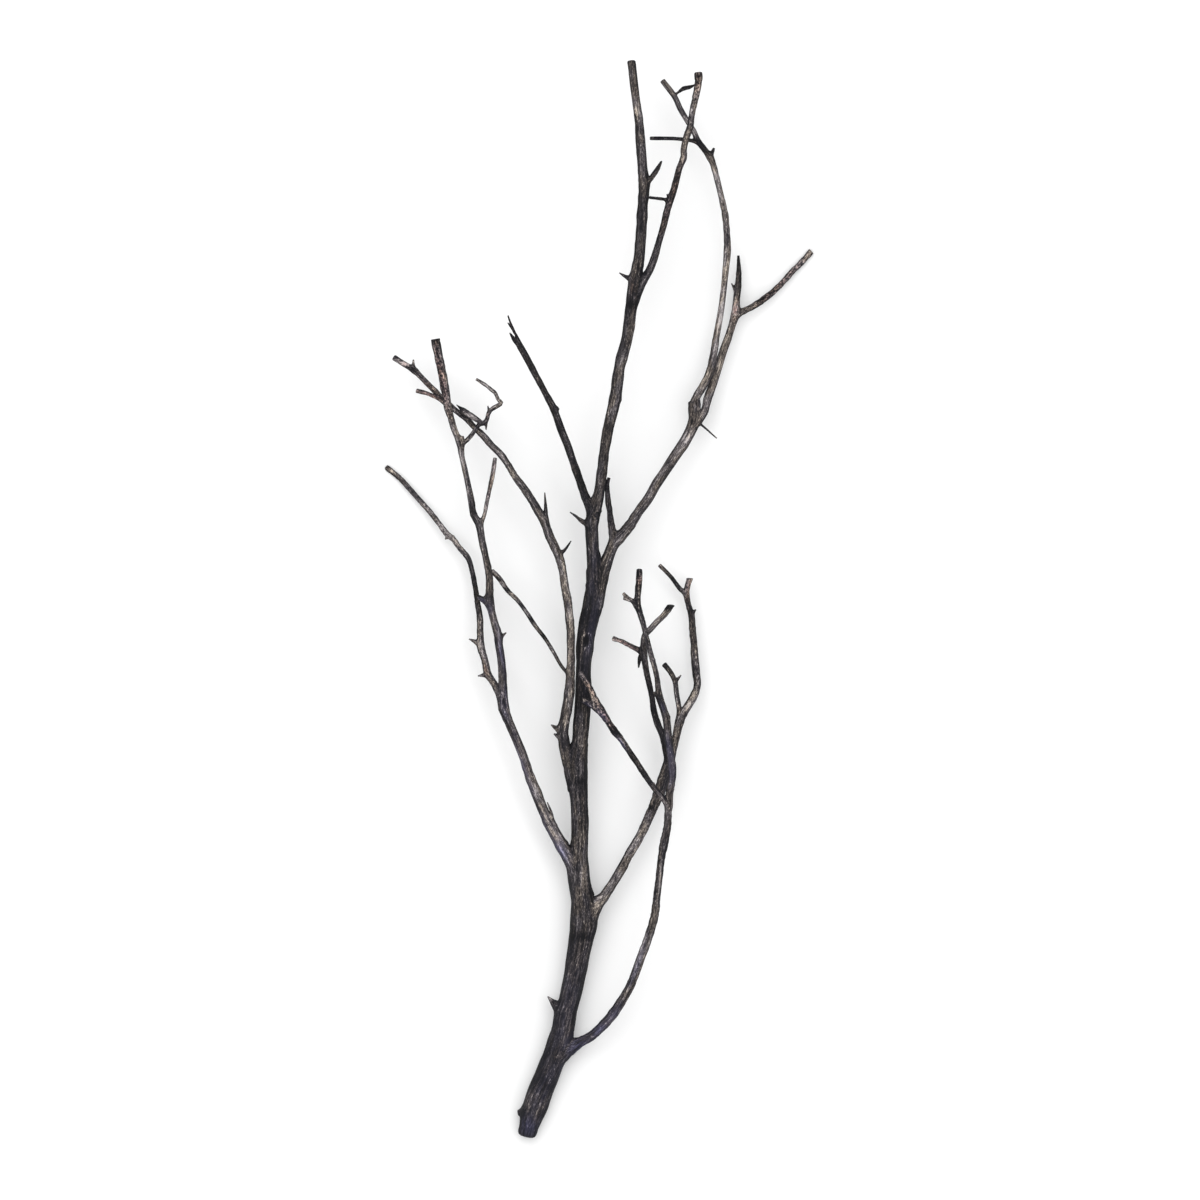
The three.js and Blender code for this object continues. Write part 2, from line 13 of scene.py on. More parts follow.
import bpy
import numpy as np
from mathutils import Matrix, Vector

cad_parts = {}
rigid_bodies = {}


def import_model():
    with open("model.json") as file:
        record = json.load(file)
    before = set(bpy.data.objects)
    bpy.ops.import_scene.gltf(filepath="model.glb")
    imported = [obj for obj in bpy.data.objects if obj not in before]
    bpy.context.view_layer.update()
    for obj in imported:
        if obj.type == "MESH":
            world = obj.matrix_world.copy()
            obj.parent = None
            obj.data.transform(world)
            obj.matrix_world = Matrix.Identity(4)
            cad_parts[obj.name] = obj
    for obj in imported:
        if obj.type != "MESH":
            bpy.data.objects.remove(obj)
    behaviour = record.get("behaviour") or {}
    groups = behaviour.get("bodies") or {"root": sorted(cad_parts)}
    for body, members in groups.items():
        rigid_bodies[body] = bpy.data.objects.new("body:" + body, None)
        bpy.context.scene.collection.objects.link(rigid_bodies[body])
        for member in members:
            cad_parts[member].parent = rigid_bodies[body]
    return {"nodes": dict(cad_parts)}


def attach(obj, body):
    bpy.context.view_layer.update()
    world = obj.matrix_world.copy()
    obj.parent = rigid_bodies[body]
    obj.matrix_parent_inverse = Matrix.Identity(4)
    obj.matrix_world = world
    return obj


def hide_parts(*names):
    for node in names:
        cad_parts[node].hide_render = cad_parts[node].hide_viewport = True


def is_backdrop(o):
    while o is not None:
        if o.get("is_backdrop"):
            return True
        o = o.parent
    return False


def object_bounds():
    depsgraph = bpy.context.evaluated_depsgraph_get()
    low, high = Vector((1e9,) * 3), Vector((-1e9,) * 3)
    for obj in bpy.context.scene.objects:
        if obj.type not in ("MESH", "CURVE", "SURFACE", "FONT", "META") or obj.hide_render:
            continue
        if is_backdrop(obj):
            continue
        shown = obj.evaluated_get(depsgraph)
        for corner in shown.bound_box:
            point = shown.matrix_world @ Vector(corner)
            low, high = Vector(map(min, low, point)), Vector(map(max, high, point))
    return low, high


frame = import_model()
packed_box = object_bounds()
print("nodes in the packed model:", sorted(frame["nodes"]))
print("box of the packed model, in metres:", packed_box)

# %% [markdown]
# ## The drawing sheet
#
# Every limb follows a route read off a full-size drawing sheet: across from its left edge,
# down from its top edge, the height of the limb's middle over the surface, and the limb's
# width, all in millimetres. The branch could also be sculpted freely, but then it would not
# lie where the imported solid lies. All the work is done in millimetres and turned into metres
# once, when the mesh is made.

# %% Measures
MM = 0.001
SHEET_MIDDLE_ACROSS = 599.365
SHEET_MIDDLE_DOWN = 599.91


def from_sheet(across, down, height):
    """The point in the model's frame, in millimetres."""
    return np.array([across - SHEET_MIDDLE_ACROSS, SHEET_MIDDLE_DOWN - down, height], float)


print("the stem's cut end lies at", from_sheet(527, 1133, 9.2))

# %% [markdown]
# ## Noise that is the same each time
#
# Bark is uneven at every scale, so the script needs a smooth random field. Blender's own
# noise works on one point at a time. This one works on a whole array of points: it gives
# each corner of a cubic lattice a fixed random value, and blends between the corners.

# %% Smooth noise over an array of points
# Large odd numbers scatter the values of neighbouring cells, and masks keep the last bits.
SCATTER = (374761393, 668265263, 1440662683)
SEED_SCATTER = 974634777
LAST_SCATTER = 1274126177
LAST_32_BITS = 0xFFFFFFFF
LAST_16_BITS = 0xFFFF


def lattice_value(cell, seed):
    """A fixed value from -1 to 1 for each whole-number cell."""
    mixed = sum(cell[..., axis] * SCATTER[axis] for axis in range(3))
    mixed = (mixed + seed * SEED_SCATTER) & LAST_32_BITS
    mixed = ((mixed ^ (mixed >> 13)) * LAST_SCATTER) & LAST_32_BITS
    mixed = mixed ^ (mixed >> 16)
    return (mixed & LAST_16_BITS) / (LAST_16_BITS / 2) - 1.0


def smooth_noise(points, seed):
    """Smooth values from -1 to 1, with one bump or so for each unit of length."""
    cell = np.floor(points).astype(np.int64)
    share = points - cell
    share = share * share * (3.0 - 2.0 * share)
    total = np.zeros(points.shape[:-1])
    for corner in np.ndindex(2, 2, 2):
        weight = np.ones(points.shape[:-1])
        for axis in range(3):
            weight = weight * (share[..., axis] if corner[axis] else 1.0 - share[..., axis])
        total += weight * lattice_value(cell + np.array(corner), seed)
    return total


sample = smooth_noise(np.random.default_rng(1).uniform(0, 50, (1000, 3)), 3)
print(f"noise runs from {sample.min():.2f} to {sample.max():.2f}")

# %% [markdown]
# ## From a route to a line of stations
#
# A limb bends smoothly through its points. A Blender curve could carry the route, but the
# bark needs to know the direction round and along the limb at every place, so the route is
# turned into closely spaced stations here. Each station has its middle, its radius and three
# directions: along the limb, and two that span its section. The section's directions are
# carried from one station to the next without twisting, so the grain doesn't spiral.

# %% Stations along a route
PATH_PIECES = 12  # in each span between two points of a route


def rounded_path(points, steps):
    """A centripetal Catmull-Rom path through the points, with steps pieces in each span."""
    ends = np.vstack([2 * points[0] - points[1], points, 2 * points[-1] - points[-2]])
    path = []
    for before, start, stop, after in zip(ends[:-3], ends[1:-2], ends[2:-1], ends[3:]):
        spans = ((before, start), (start, stop), (stop, after))
        gaps = [np.linalg.norm(b - a) ** 0.5 for a, b in spans]
        slope_start = (start - before) / gaps[0] - (stop - before) / (gaps[0] + gaps[1])
        slope_start = (slope_start + (stop - start) / gaps[1]) * gaps[1]
        slope_stop = (stop - start) / gaps[1] - (after - start) / (gaps[1] + gaps[2])
        slope_stop = (slope_stop + (after - stop) / gaps[2]) * gaps[1]
        t = np.linspace(0, 1, steps, endpoint=False)[:, None]
        path.append(
            start * (2 * t**3 - 3 * t**2 + 1)
            + slope_start * (t**3 - 2 * t**2 + t)
            + stop * (3 * t**2 - 2 * t**3)
            + slope_stop * (t**3 - t**2)
        )
    path.append(points[-1][None, :])
    return np.vstack(path)


def unit(vectors):
    """The same vectors, one long."""
    return vectors / np.maximum(np.linalg.norm(vectors, axis=-1, keepdims=True), 1e-9)


def stations(route, step, bark):
    """Evenly spaced stations along a route, as a dictionary of arrays."""
    points = np.array([from_sheet(*place[:3]) for place in route])
    widths = np.array([place[3] + bark for place in route], float)
    path = rounded_path(points, PATH_PIECES)
    reached = np.concatenate([[0.0], np.cumsum(np.linalg.norm(np.diff(path, axis=0), axis=1))])
    count = max(3, int(round(reached[-1] / step)) + 1)
    places = np.linspace(0, reached[-1], count)
    middle = np.stack([np.interp(places, reached, path[:, axis]) for axis in range(3)], axis=1)
    width = np.interp(places, reached[::PATH_PIECES], widths)
    along = unit(np.gradient(middle, axis=0))
    side = np.zeros_like(middle)
    side[0] = unit(np.cross([0.0, 0.0, 1.0], along[0]))
    for index in range(1, count):
        carried = side[index - 1] - along[index] * np.dot(side[index - 1], along[index])
        side[index] = unit(carried)
    return {
        "middle": middle, "radius": width / 2, "along": along, "side": side,
        "other": np.cross(along, side), "reached": places,
    }


trial = stations([(500, 500, 5, 6), (520, 540, 5, 5), (560, 560, 5, 4)], 2.0, 0.5)
print(f"a trial route of {trial['reached'][-1]:.0f} mm gets {len(trial['reached'])} stations")

# %% [markdown]
# ## The bark's relief
#
# On the real branch the section is never quite round. Long low lumps and nodes swell it, fine
# fibres run along it, and the young ends are scaly. All of that is added to the radius as a
# function of the place on the limb. It is real geometry, so it shows in the outline too. The
# finest fibres are left to the material.

# %% Relief on a limb's skin
LUMPS = 0.04           # share of the width
OVAL = 0.045           # share of the radius
THREE_CORNERED = 0.04  # share of the radius
OVAL_TWIST = 0.035     # radians for each millimetre
CORNER_TWIST = -0.06   # radians for each millimetre
NODE_SWELL = 0.07      # share of the radius
NODE_CREASE = 0.4 * NODE_SWELL
NODE_LENGTH = 0.42     # share of the width
NODE_LEAST = 0.4       # millimetres
CREASE_AHEAD = 0.35    # share of the width
CREASE_LENGTH = 0.7    # millimetres
# Sizes of the noise in millimetres: two across the limb and one along it.
FIBRE_SIZE = np.array([1.25, 1.25, 15.0])
THREAD_SIZE = np.array([0.7, 0.7, 6.0])
SCALE_SIZE = np.array([1.9, 1.9, 3.2])
THREAD_HEIGHT = 0.45   # share of the fibres' height
LUMP_WIDTH = 1.1       # share of the limb's width
LUMP_LEAST = 2.0       # millimetres
LUMP_LENGTH = 2.6      # times the lump's width
OWN_NOISE = 97.0       # millimetres from one limb's place in the noise to the next


def relief(limb, reached, angle, radius):
    """What the bark adds to the radius, in millimetres."""
    width = 2 * radius
    seed = limb["seed"]
    in_noise = reached + OWN_NOISE * seed
    ring = np.stack([radius * np.cos(angle), radius * np.sin(angle), in_noise], axis=-1)
    lump_size = LUMP_WIDTH * width + LUMP_LEAST
    lump_sizes = np.stack([lump_size, lump_size, LUMP_LENGTH * lump_size], axis=-1)
    lumps = smooth_noise(ring / lump_sizes, seed)
    fibres = smooth_noise(ring / FIBRE_SIZE, seed + 1)
    threads = smooth_noise(ring / THREAD_SIZE, seed + 2)
    scales = smooth_noise(ring / SCALE_SIZE, seed + 3)
    out = LUMPS * width * lumps
    out += OVAL * radius * np.sin(2 * angle + OVAL_TWIST * reached)
    out += THREE_CORNERED * radius * np.sin(3 * angle + CORNER_TWIST * reached)
    out += limb["fibre"] * (fibres + THREAD_HEIGHT * threads)
    out += np.interp(reached, limb["line"]["reached"], limb["line"]["scaly"]) * scales
    for place, way in limb["nodes"]:
        swell = np.exp(-(((reached - place) / (NODE_LENGTH * width + NODE_LEAST)) ** 2))
        crease = np.exp(-(((reached - place - CREASE_AHEAD * width) / CREASE_LENGTH) ** 2))
        # A node stands out on one side and fades towards the other.
        facing = 0.55 + 0.45 * np.cos(angle - way)
        out += radius * (NODE_SWELL * swell - NODE_CREASE * crease) * facing
    return out


trial["scaly"] = np.full(len(trial["reached"]), 0.1)
trial_limb = {"line": trial, "seed": 1, "fibre": 0.1, "nodes": [(30.0, 0.0)]}
turn = np.linspace(0, 2 * np.pi, 24)
trial_reached, trial_angle = np.meshgrid(trial["reached"], turn, indexing="ij")
raised = relief(trial_limb, trial_reached, trial_angle, np.full(trial_angle.shape, 3.0))
print(f"on a trial limb the relief runs from {raised.min():.2f} to {raised.max():.2f} mm")

# %% [markdown]
# ## From stations to a closed skin
#
# Each limb becomes a closed tube: a ring of vertices at each station, and a finish at the tip.
# A pruned tip has a small rounded edge and a nearly flat face, a weathered tip is a dome, and
# a torn one has a ragged rim. A bevelled curve would give the tube quicker, but not the ends
# and not the relief. The root end is buried in the parent and only needs to be closed.

# %% Skin of one limb
TIP_SHAPES = {
    # Pairs of (reach past the last station, radius), in shares of the radius.
    "round": [(0.25, 0.965), (0.43, 0.87), (0.54, 0.7), (0.6, 0.42)],
    "cut": [(0.07, 0.98), (0.13, 0.92), (0.15, 0.8), (0.12, 0.45)],
    "torn": [(0.05, 0.96), (0.0, 0.82), (-0.25, 0.6), (-0.5, 0.3)],
}
LEAST_RADIUS = 0.12  # millimetres
SLANT_REACH = 2.2    # how far back a slanted cut bends the tube, in radii
RIM_REACH = 1.2      # how far back a torn rim reaches, in radii
RIM_POINTS = 2.2     # how many points the torn rim has, more or less
RIM_HEIGHT = 0.5     # how far the rim stands out, in radii
RIM_SWING = 0.9      # how far its points depart from that


def skin(limb):
    """Vertices in millimetres and faces of a limb's closed tube."""
    line = limb["line"]
    sides = limb["sides"]
    rings = [(index, 0.0, 1.0) for index in range(len(line["middle"]))]
    last = len(line["middle"]) - 1
    rings += [(last, reach, share) for reach, share in TIP_SHAPES[limb["end"]]]
    if limb["start"] == "round":
        rings = [(0, -reach, share) for reach, share in reversed(TIP_SHAPES["round"])] + rings
    index = np.array([ring[0] for ring in rings])
    radius = line["radius"][index][:, None]
    reach = np.array([ring[1] for ring in rings])[:, None] * radius
    share = np.array([ring[2] for ring in rings])[:, None]
    angle = np.linspace(0, 2 * np.pi, sides, endpoint=False)[None, :]
    reached = line["reached"][index][:, None] + reach
    reached, angle = np.broadcast_arrays(reached, angle)
    radius = np.broadcast_to(radius, angle.shape)
    around = share * (radius + relief(limb, reached, angle, radius))
    around = np.maximum(around, LEAST_RADIUS)
    slant = limb["slant"] * around * np.cos(angle - limb["slant_way"])
    from_tip = line["reached"][-1] - reached
    near_tip = np.clip(1 - from_tip / (SLANT_REACH * radius), 0, 1)
    ahead = np.broadcast_to(reach, angle.shape) + slant * near_tip
    if limb["end"] == "torn":
        on_rim = np.stack([angle * RIM_POINTS, reached * 0, angle * 0], axis=-1)
        ragged = smooth_noise(on_rim, limb["seed"] + 9)
        rim = np.clip(1 - from_tip / (RIM_REACH * radius), 0, 1) * (share > 0.5)
        ahead = ahead + rim * radius * (RIM_HEIGHT + RIM_SWING * ragged)
    middle, along = line["middle"][index], line["along"][index]
    side, other = line["side"][index], line["other"][index]
    vertices = (
        middle[:, None, :]
        + along[:, None, :] * ahead[..., None]
        + side[:, None, :] * (around * np.cos(angle))[..., None]
        + other[:, None, :] * (around * np.sin(angle))[..., None]
    )
    root = vertices[0].mean(axis=0)
    tip = vertices[-1].mean(axis=0)
    ring_count = len(rings)
    flat = vertices.reshape(-1, 3)
    faces = []
    for ring in range(ring_count - 1):
        for step in range(sides):
            a = ring * sides + step
            b = ring * sides + (step + 1) % sides
            faces.append((a, b, b + sides, a + sides))
    root_index, tip_index = len(flat), len(flat) + 1
    top = (ring_count - 1) * sides
    for step in range(sides):
        following = (step + 1) % sides
        faces.append((root_index, following, step))
        faces.append((tip_index, top + step, top + following))
    return np.vstack([flat, root, tip]), faces


print("kinds of tip:", ", ".join(TIP_SHAPES))

# %% [markdown]
# ## Kinds of limb
#
# Thick limbs need many sides and thin ones few. Each kind has its number of sides, its step
# along the limb, the bark that is added to the widths of its route, and the height of the
# fibres on it. One kind for all would be simpler, but it would spend most of the mesh on the
# thorns.

# %% Kinds of limb
STEM = {"sides": 44, "step": 2.5, "bark": 0.9, "fibre": 0.2}
LIMB = {"sides": 26, "step": 2.3, "bark": 0.8, "fibre": 0.13}
TWIG = {"sides": 18, "step": 1.9, "bark": 0.7, "fibre": 0.09}
THORN = {"sides": 14, "step": 1.3, "bark": 0.2, "fibre": 0.04}
print("sides round the stem and round a thorn:", STEM["sides"], THORN["sides"])

# %% [markdown]
# ## Scaly young ends
#
# The bark is smooth on old wood and rough with scales on the young ends. The change is
# gradual, so each limb has a list that pairs a place down the sheet with the height of the
# scales there, in millimetres. A limb with no list is nearly smooth.

# %% Height of the scales
SCALY = {
    "right twig": [(245, 0.42), (300, 0.36), (315, 0.1)],
    "upright limb": [(74, 0.36), (98, 0.34), (112, 0.18), (200, 0.16), (230, 0.08)],
    "middle limb": [(338, 0.42), (400, 0.42), (425, 0.1), (560, 0.04)],
    "kinked twig": [(378, 0.3), (440, 0.26)],
    "upper limb": [(355, 0.26), (425, 0.2), (445, 0.06)],
    "side twig": [(390, 0.2)],
    "low twig": [(465, 0.08), (540, 0.26), (560, 0.1), (650, 0.16), (700, 0.08)],
    "rear limb": [(577, 0.26), (600, 0.26), (612, 0.1), (630, 0.16), (700, 0.2), (720, 0.08)],
    "long thin twig": [(570, 0.14), (640, 0.06)],
    "rear side twig": [(572, 0.14)],
    "dark side twig": [(640, 0.24)],
    "front limb": [(569, 0.36), (594, 0.32), (606, 0.1), (700, 0.12), (760, 0.04)],
    "front side twig": [(600, 0.24)],
    "fork of the side twig": [(600, 0.24)],
    "knotted twig": [(676, 0.34), (742, 0.34), (756, 0.16), (800, 0.1)],
    "broken stub": [(700, 0.36)],
    "dark limb": [(317, 0.16), (360, 0.1), (500, 0.05)],
}
SMOOTH = [(0, 0.02)]
print(len(SCALY), "limbs have scales")

# %% [markdown]
# ## Growing a limb
#
# `grow` keeps a limb with its stations. It keeps the limb's parent too, because the crotch
# between the two is rounded later. Along the limb stand nodes, the low rings where buds once
# sat. They could be placed by hand, but a random draw does it for all the limbs. The seed
# follows from the order of the limbs, so each run gives the same branch.

# %% Grow
FIRST_SEED = 11
NODE_EVERY = (24.0, 52.0)  # millimetres, the least and the most
NO_NODE_BEFORE_TIP = 6     # millimetres
limbs = {}


def grow(name, kind, parent, route, end="round", start="buried", slant=0.0, slant_way=0.0, web=0.5):
    """Keeps a limb with its stations and its seeded nodes. web is how far its crotch is filled."""
    seed = len(limbs) + FIRST_SEED
    line = stations(route, kind["step"], kind["bark"])
    station_down = SHEET_MIDDLE_DOWN - line["middle"][:, 1]
    scaly = SCALY.get(name, SMOOTH)
    line["scaly"] = np.interp(station_down, *zip(*scaly))
    draw = np.random.default_rng(seed)
    nodes = []
    place = draw.uniform(*NODE_EVERY)
    while kind is not THORN and place < line["reached"][-1] - NO_NODE_BEFORE_TIP:
        nodes.append((place, draw.uniform(0, 2 * np.pi)))
        place += draw.uniform(*NODE_EVERY)
    limbs[name] = {
        "line": line, "sides": kind["sides"], "fibre": kind["fibre"], "parent": parent,
        "nodes": nodes, "seed": seed, "end": end, "start": start, "slant": slant,
        "slant_way": slant_way, "web": web,
    }


print("ready to grow, with", len(limbs), "limbs so far")

# %% [markdown]
# ## The stem
#
# The stem runs from its rounded cut end to the bare top. A hooked thorn, two thin thorns and
# a torn blade stand on it, and a small knob sits beside the cut end. Every route could be bent
# from one plain curve, but no two limbs of the real branch are alike, so each has its own.

# %% Stem
grow("stem", STEM, None, [
    (527.8, 1131.6, 9.2, 18.6), (532.4, 1113, 10.6, 22), (539.4, 1093, 12.4, 23), (549.8, 1070, 14, 22),
    (557.5, 1047, 16, 21.6), (562.4, 1032, 17, 22.4), (565, 1016, 18, 22.4), (570.6, 994, 20, 21.2),
    (575.7, 971, 22, 20.6), (581, 940, 24, 22), (582.6, 924, 25, 22.4), (581, 893, 28, 19.4),
    (579.6, 878, 29, 18.7), (580, 832, 33, 17), (579, 801, 36, 17.3), (578.3, 786, 37, 18.4),
    (577.8, 765, 38, 19.4), (580.4, 740, 40, 14.2), (581.6, 721, 41, 14.4), (583, 700, 43, 14.8),
    (584, 662, 45, 14.8), (587, 632, 47, 17.4), (592.7, 601, 49, 17.2), (594, 565, 51, 12.5),
    (593, 545, 52, 11.3), (592.3, 520, 54, 12), (597.4, 500, 56, 10.6), (601.5, 476, 57, 10.2),
    (604.6, 451, 58, 9), (609, 426, 59, 10), (615, 399, 60, 10.7), (619.4, 368, 62, 9.6),
    (627.4, 337, 64, 10.7), (630.8, 310, 65, 11.4), (634, 282, 66, 12), (639, 259, 67, 10.2),
    (641, 239, 68, 9.8), (642, 221, 69, 9.4), (643, 204, 69, 9.1), (644, 186, 70, 10),
    (642.5, 168, 70, 8.5), (641.3, 150, 70, 8.6), (640.5, 139, 70, 8.9), (639.3, 121, 70, 7.9),
    (636.6, 104, 70, 7.5), (634.3, 86, 69, 7.8), (631.5, 63, 68, 7.4),
], start="round")
grow("knob at the cut end", THORN, "stem", [
    (528, 1112, 10, 17), (523, 1112.4, 10, 12), (519.4, 1113, 10, 6),
], web=0.4)
grow("low thorn", THORN, "stem", [
    (563, 1010, 19, 18), (556, 1004.8, 19, 10), (552, 1000.8, 19, 4.8), (548, 996.4, 19, 1.1),
])
grow("upper left thorn", THORN, "stem", [
    (592, 524, 54, 8), (584, 521.4, 55, 5), (577, 516, 56, 3), (570.4, 511.4, 57, 0.9),
])
grow("thorn under the upright limb", THORN, "stem", [
    (635, 280, 66, 7), (627, 277, 66, 4), (619.6, 272.7, 66, 0.9),
])
grow("torn blade", THORN, "stem", [
    (644, 186, 70, 7), (650.8, 178.6, 71, 5), (657.7, 168.5, 71, 4.4), (661.4, 161.6, 71, 1.6),
])
grow("stem bump", THORN, "stem", [
    (614, 399, 60, 9), (620.5, 398.5, 60, 4),
])
print(f"the stem is {limbs['stem']['line']['reached'][-1]:.0f} mm long")

# %% [markdown]
# ## The dark limb at the top left
#
# It leaves the stem at a sharp angle, is nearly black, and ends in splinters where it broke.
# Three thin slivers make the splintered end.

# %% Dark limb
grow("dark limb", LIMB, "stem", [
    (596, 514, 55, 11), (588, 502, 55, 8), (581, 483.4, 56, 6.9), (574, 462.6, 58, 6.5),
    (569, 447.2, 60, 6.5), (561.4, 428.6, 62, 6.6), (554.6, 410, 64, 6.8), (545.8, 393, 66, 6),
    (537, 376.5, 68, 5.8), (527.8, 359, 70, 6), (521.4, 347.4, 72, 6), (516.6, 338.6, 73, 5.6),
], end="torn", slant=0.4, slant_way=np.pi)
grow("first sliver", THORN, "dark limb", [
    (519.6, 342, 73, 3), (516, 334.4, 73.5, 2.3), (512.9, 328, 74.5, 3), (510.6, 322, 75, 2),
    (508.5, 315.6, 75.6, 1.2),
], web=0.0)
grow("second sliver", THORN, "first sliver", [
    (513, 328.6, 74.5, 2), (510.3, 325.6, 74.6, 1.6), (508.3, 322.6, 75, 0.8),
], web=0.0)
grow("third sliver", THORN, "dark limb", [
    (517, 343, 72, 4.2), (513.8, 338, 72, 4), (511.8, 335, 72, 2.4), (510.2, 332.6, 72, 0.9),
], web=0.0)
grow("dark limb node", THORN, "dark limb", [
    (555, 410, 64, 6), (558, 407.5, 64, 3.4),
])
print(len(limbs), "limbs so far")

# %% [markdown]
# ## The thick limb on the right
#
# It curves out from the stem and carries the long whip and the spiky branch. A short stub
# stands in the fork between it and the stem, and a needle-thin thorn under its end.

# %% Thick limb
grow("thick limb", LIMB, "stem", [
    (596, 606, 49, 12), (604, 571, 50, 10.4), (607.8, 558, 50, 10.5), (613.6, 544, 49, 10.5),
    (620, 536.5, 48, 10.8), (629, 526, 46, 10), (638.2, 511.4, 44, 9.1), (648, 498, 42, 9.5),
    (656, 484, 40, 9.5), (666, 469, 37, 9.5), (675.8, 454.6, 35, 9.8), (686.4, 438.4, 32, 10),
    (693, 424, 30, 10), (694.8, 411, 29, 9.4), (694.6, 404, 28.5, 8),
])
grow("stub on the thick limb", TWIG, "thick limb", [
    (614, 540, 49, 8), (611, 521, 50, 6), (609, 508, 51, 5.7), (607.8, 494, 52, 4.5),
    (607.3, 483, 52, 4), (609.3, 477, 52, 2.6),
], end="cut")
grow("bump on the thick limb", THORN, "thick limb", [
    (693.5, 408, 29, 7), (691.4, 402, 29, 4),
])
grow("thin thorn", THORN, "thick limb", [
    (693, 414, 30, 5), (701, 423, 29, 2.4), (709, 430, 28, 1.7), (717, 437, 27, 0.9),
])
print(len(limbs), "limbs so far")

# %% [markdown]
# ## The whip
#
# A long, smooth, pale shoot that bends over at the top, where a level twig and a small blade
# leave it.

# %% Whip
grow("whip", LIMB, "thick limb", [
    (694.6, 410, 29, 8.4), (696.4, 397, 28, 7.4), (703.2, 385, 28, 7.4), (710, 371, 28.5, 7),
    (714.3, 351, 30, 6.4), (717, 334, 31, 5.8), (720.5, 314, 32.5, 5.8), (723.5, 291, 34, 5.8),
    (726, 267, 36, 6), (727.6, 250, 37, 6.4), (727.6, 239, 38, 6), (726.7, 226, 39, 5.8),
    (725.4, 214, 40, 5.6), (722.7, 201, 41, 4.9), (719, 186, 42, 4.6), (714.8, 169, 43, 5),
    (711.2, 158, 44, 5.8), (705, 149, 45, 5.5), (699, 141, 46, 5), (693.8, 130.4, 46.5, 5),
    (688, 120.8, 47, 5), (680.6, 108.6, 48, 5), (674.8, 96.4, 49, 5), (663.2, 81, 50, 4.9),
])
grow("whip bud", THORN, "whip", [
    (709.4, 156, 44, 5), (712.3, 151.8, 44.5, 3.8), (713.9, 147.8, 45, 2.3),
])
grow("level twig", TWIG, "whip", [
    (698, 141.5, 46, 3.4), (689, 139.3, 46, 3), (676, 138, 46.5, 2.9), (663, 137.7, 47, 2.9),
    (651, 137.6, 47, 2.8),
])
grow("whip blade", THORN, "whip", [
    (673.6, 95, 49, 2.4), (678.6, 91.6, 49.5, 2.2), (683.6, 88, 50, 4.4), (689.8, 86.5, 50, 3.6),
    (694.6, 84.4, 50, 1.4),
], web=0.0)
print(f"the whip is {limbs['whip']['line']['reached'][-1]:.0f} mm long")

# %% [markdown]
# ## The spiky branch
#
# It runs behind the whip and ends in a black spike with a barb. The scaly right twig leaves
# it, sinks to the surface and is the third point that the branch lies on.

# %% Spiky branch
grow("spiky branch", LIMB, "thick limb", [
    (696.5, 423, 30, 8), (703.6, 411, 27, 7.6), (707.6, 398, 24, 7.6), (714.2, 380, 21, 7),
    (719, 365, 20, 7), (724, 349, 19, 7), (729.3, 334, 18, 7), (733, 322, 17, 7), (736, 310, 16, 8),
    (737, 297, 16.5, 6), (738.5, 284, 17, 6.2), (739.3, 270, 17.5, 4.6), (738.8, 254, 18, 1.4),
], end="cut")
grow("barb", THORN, "spiky branch", [
    (737.8, 292, 17, 4.4), (735, 287, 17, 3.2), (732, 282, 17, 0.9),
])
grow("right twig", TWIG, "spiky branch", [
    (737, 313, 16, 6.4), (745, 309, 15, 5.6), (753, 305, 13.6, 5.4), (762, 299, 12, 6),
    (773, 290.5, 10, 5), (782, 282, 8, 5), (793, 270, 6, 5), (802.4, 260.4, 4, 5),
    (811.8, 249.6, 2, 5.6),
], end="cut", slant=0.15, slant_way=0.0)
print(len(limbs), "limbs so far")

# %% [markdown]
# ## The upright limb near the top
#
# It rises in front of the whip. Its end is scaly and reddish, with a low collar.

# %% Upright limb
grow("upright limb", LIMB, "stem", [
    (634, 302, 65, 8), (638.5, 291, 66, 7.4), (644, 279.5, 68, 7), (650.8, 267, 70, 6.7),
    (655.3, 254.5, 72, 6), (659.3, 241, 74, 5.4), (663, 228.6, 76, 5.6), (666, 216, 78, 5.8),
    (668.2, 207, 80, 6), (670, 201, 81, 6.5), (673, 192, 82, 6.2), (676.4, 179.5, 83.5, 5.8),
    (679.9, 167, 85, 5.6), (683.4, 158, 86, 6.2), (683.6, 151, 86.5, 5.6), (684.8, 144, 87, 5.8),
    (687, 136.6, 87.5, 5.8), (690.2, 127.7, 88, 5.8), (691.6, 117, 88.5, 4.9), (693.2, 108, 89, 5.2),
    (695.3, 99, 89.5, 5.7), (697.4, 87, 90, 5.8), (698.3, 80, 90, 6.2), (698, 75.6, 90, 7.4),
])
grow("fine twig", THORN, "upright limb", [
    (669, 201, 81, 4), (664.6, 199.8, 81, 3.1), (657, 198.8, 81.5, 2.8), (650, 198.1, 82, 2.6),
])
grow("fine spike", THORN, "upright limb", [
    (670, 200, 81, 4), (667, 194.8, 82, 1),
])
print(len(limbs), "limbs so far")

# %% [markdown]
# ## The middle limb on the left
#
# It forks low down. This arm is the longer one: it carries a straight twig, a kinked twig
# with a knob and a sharp arm, and ends in a rough, pruned tip.

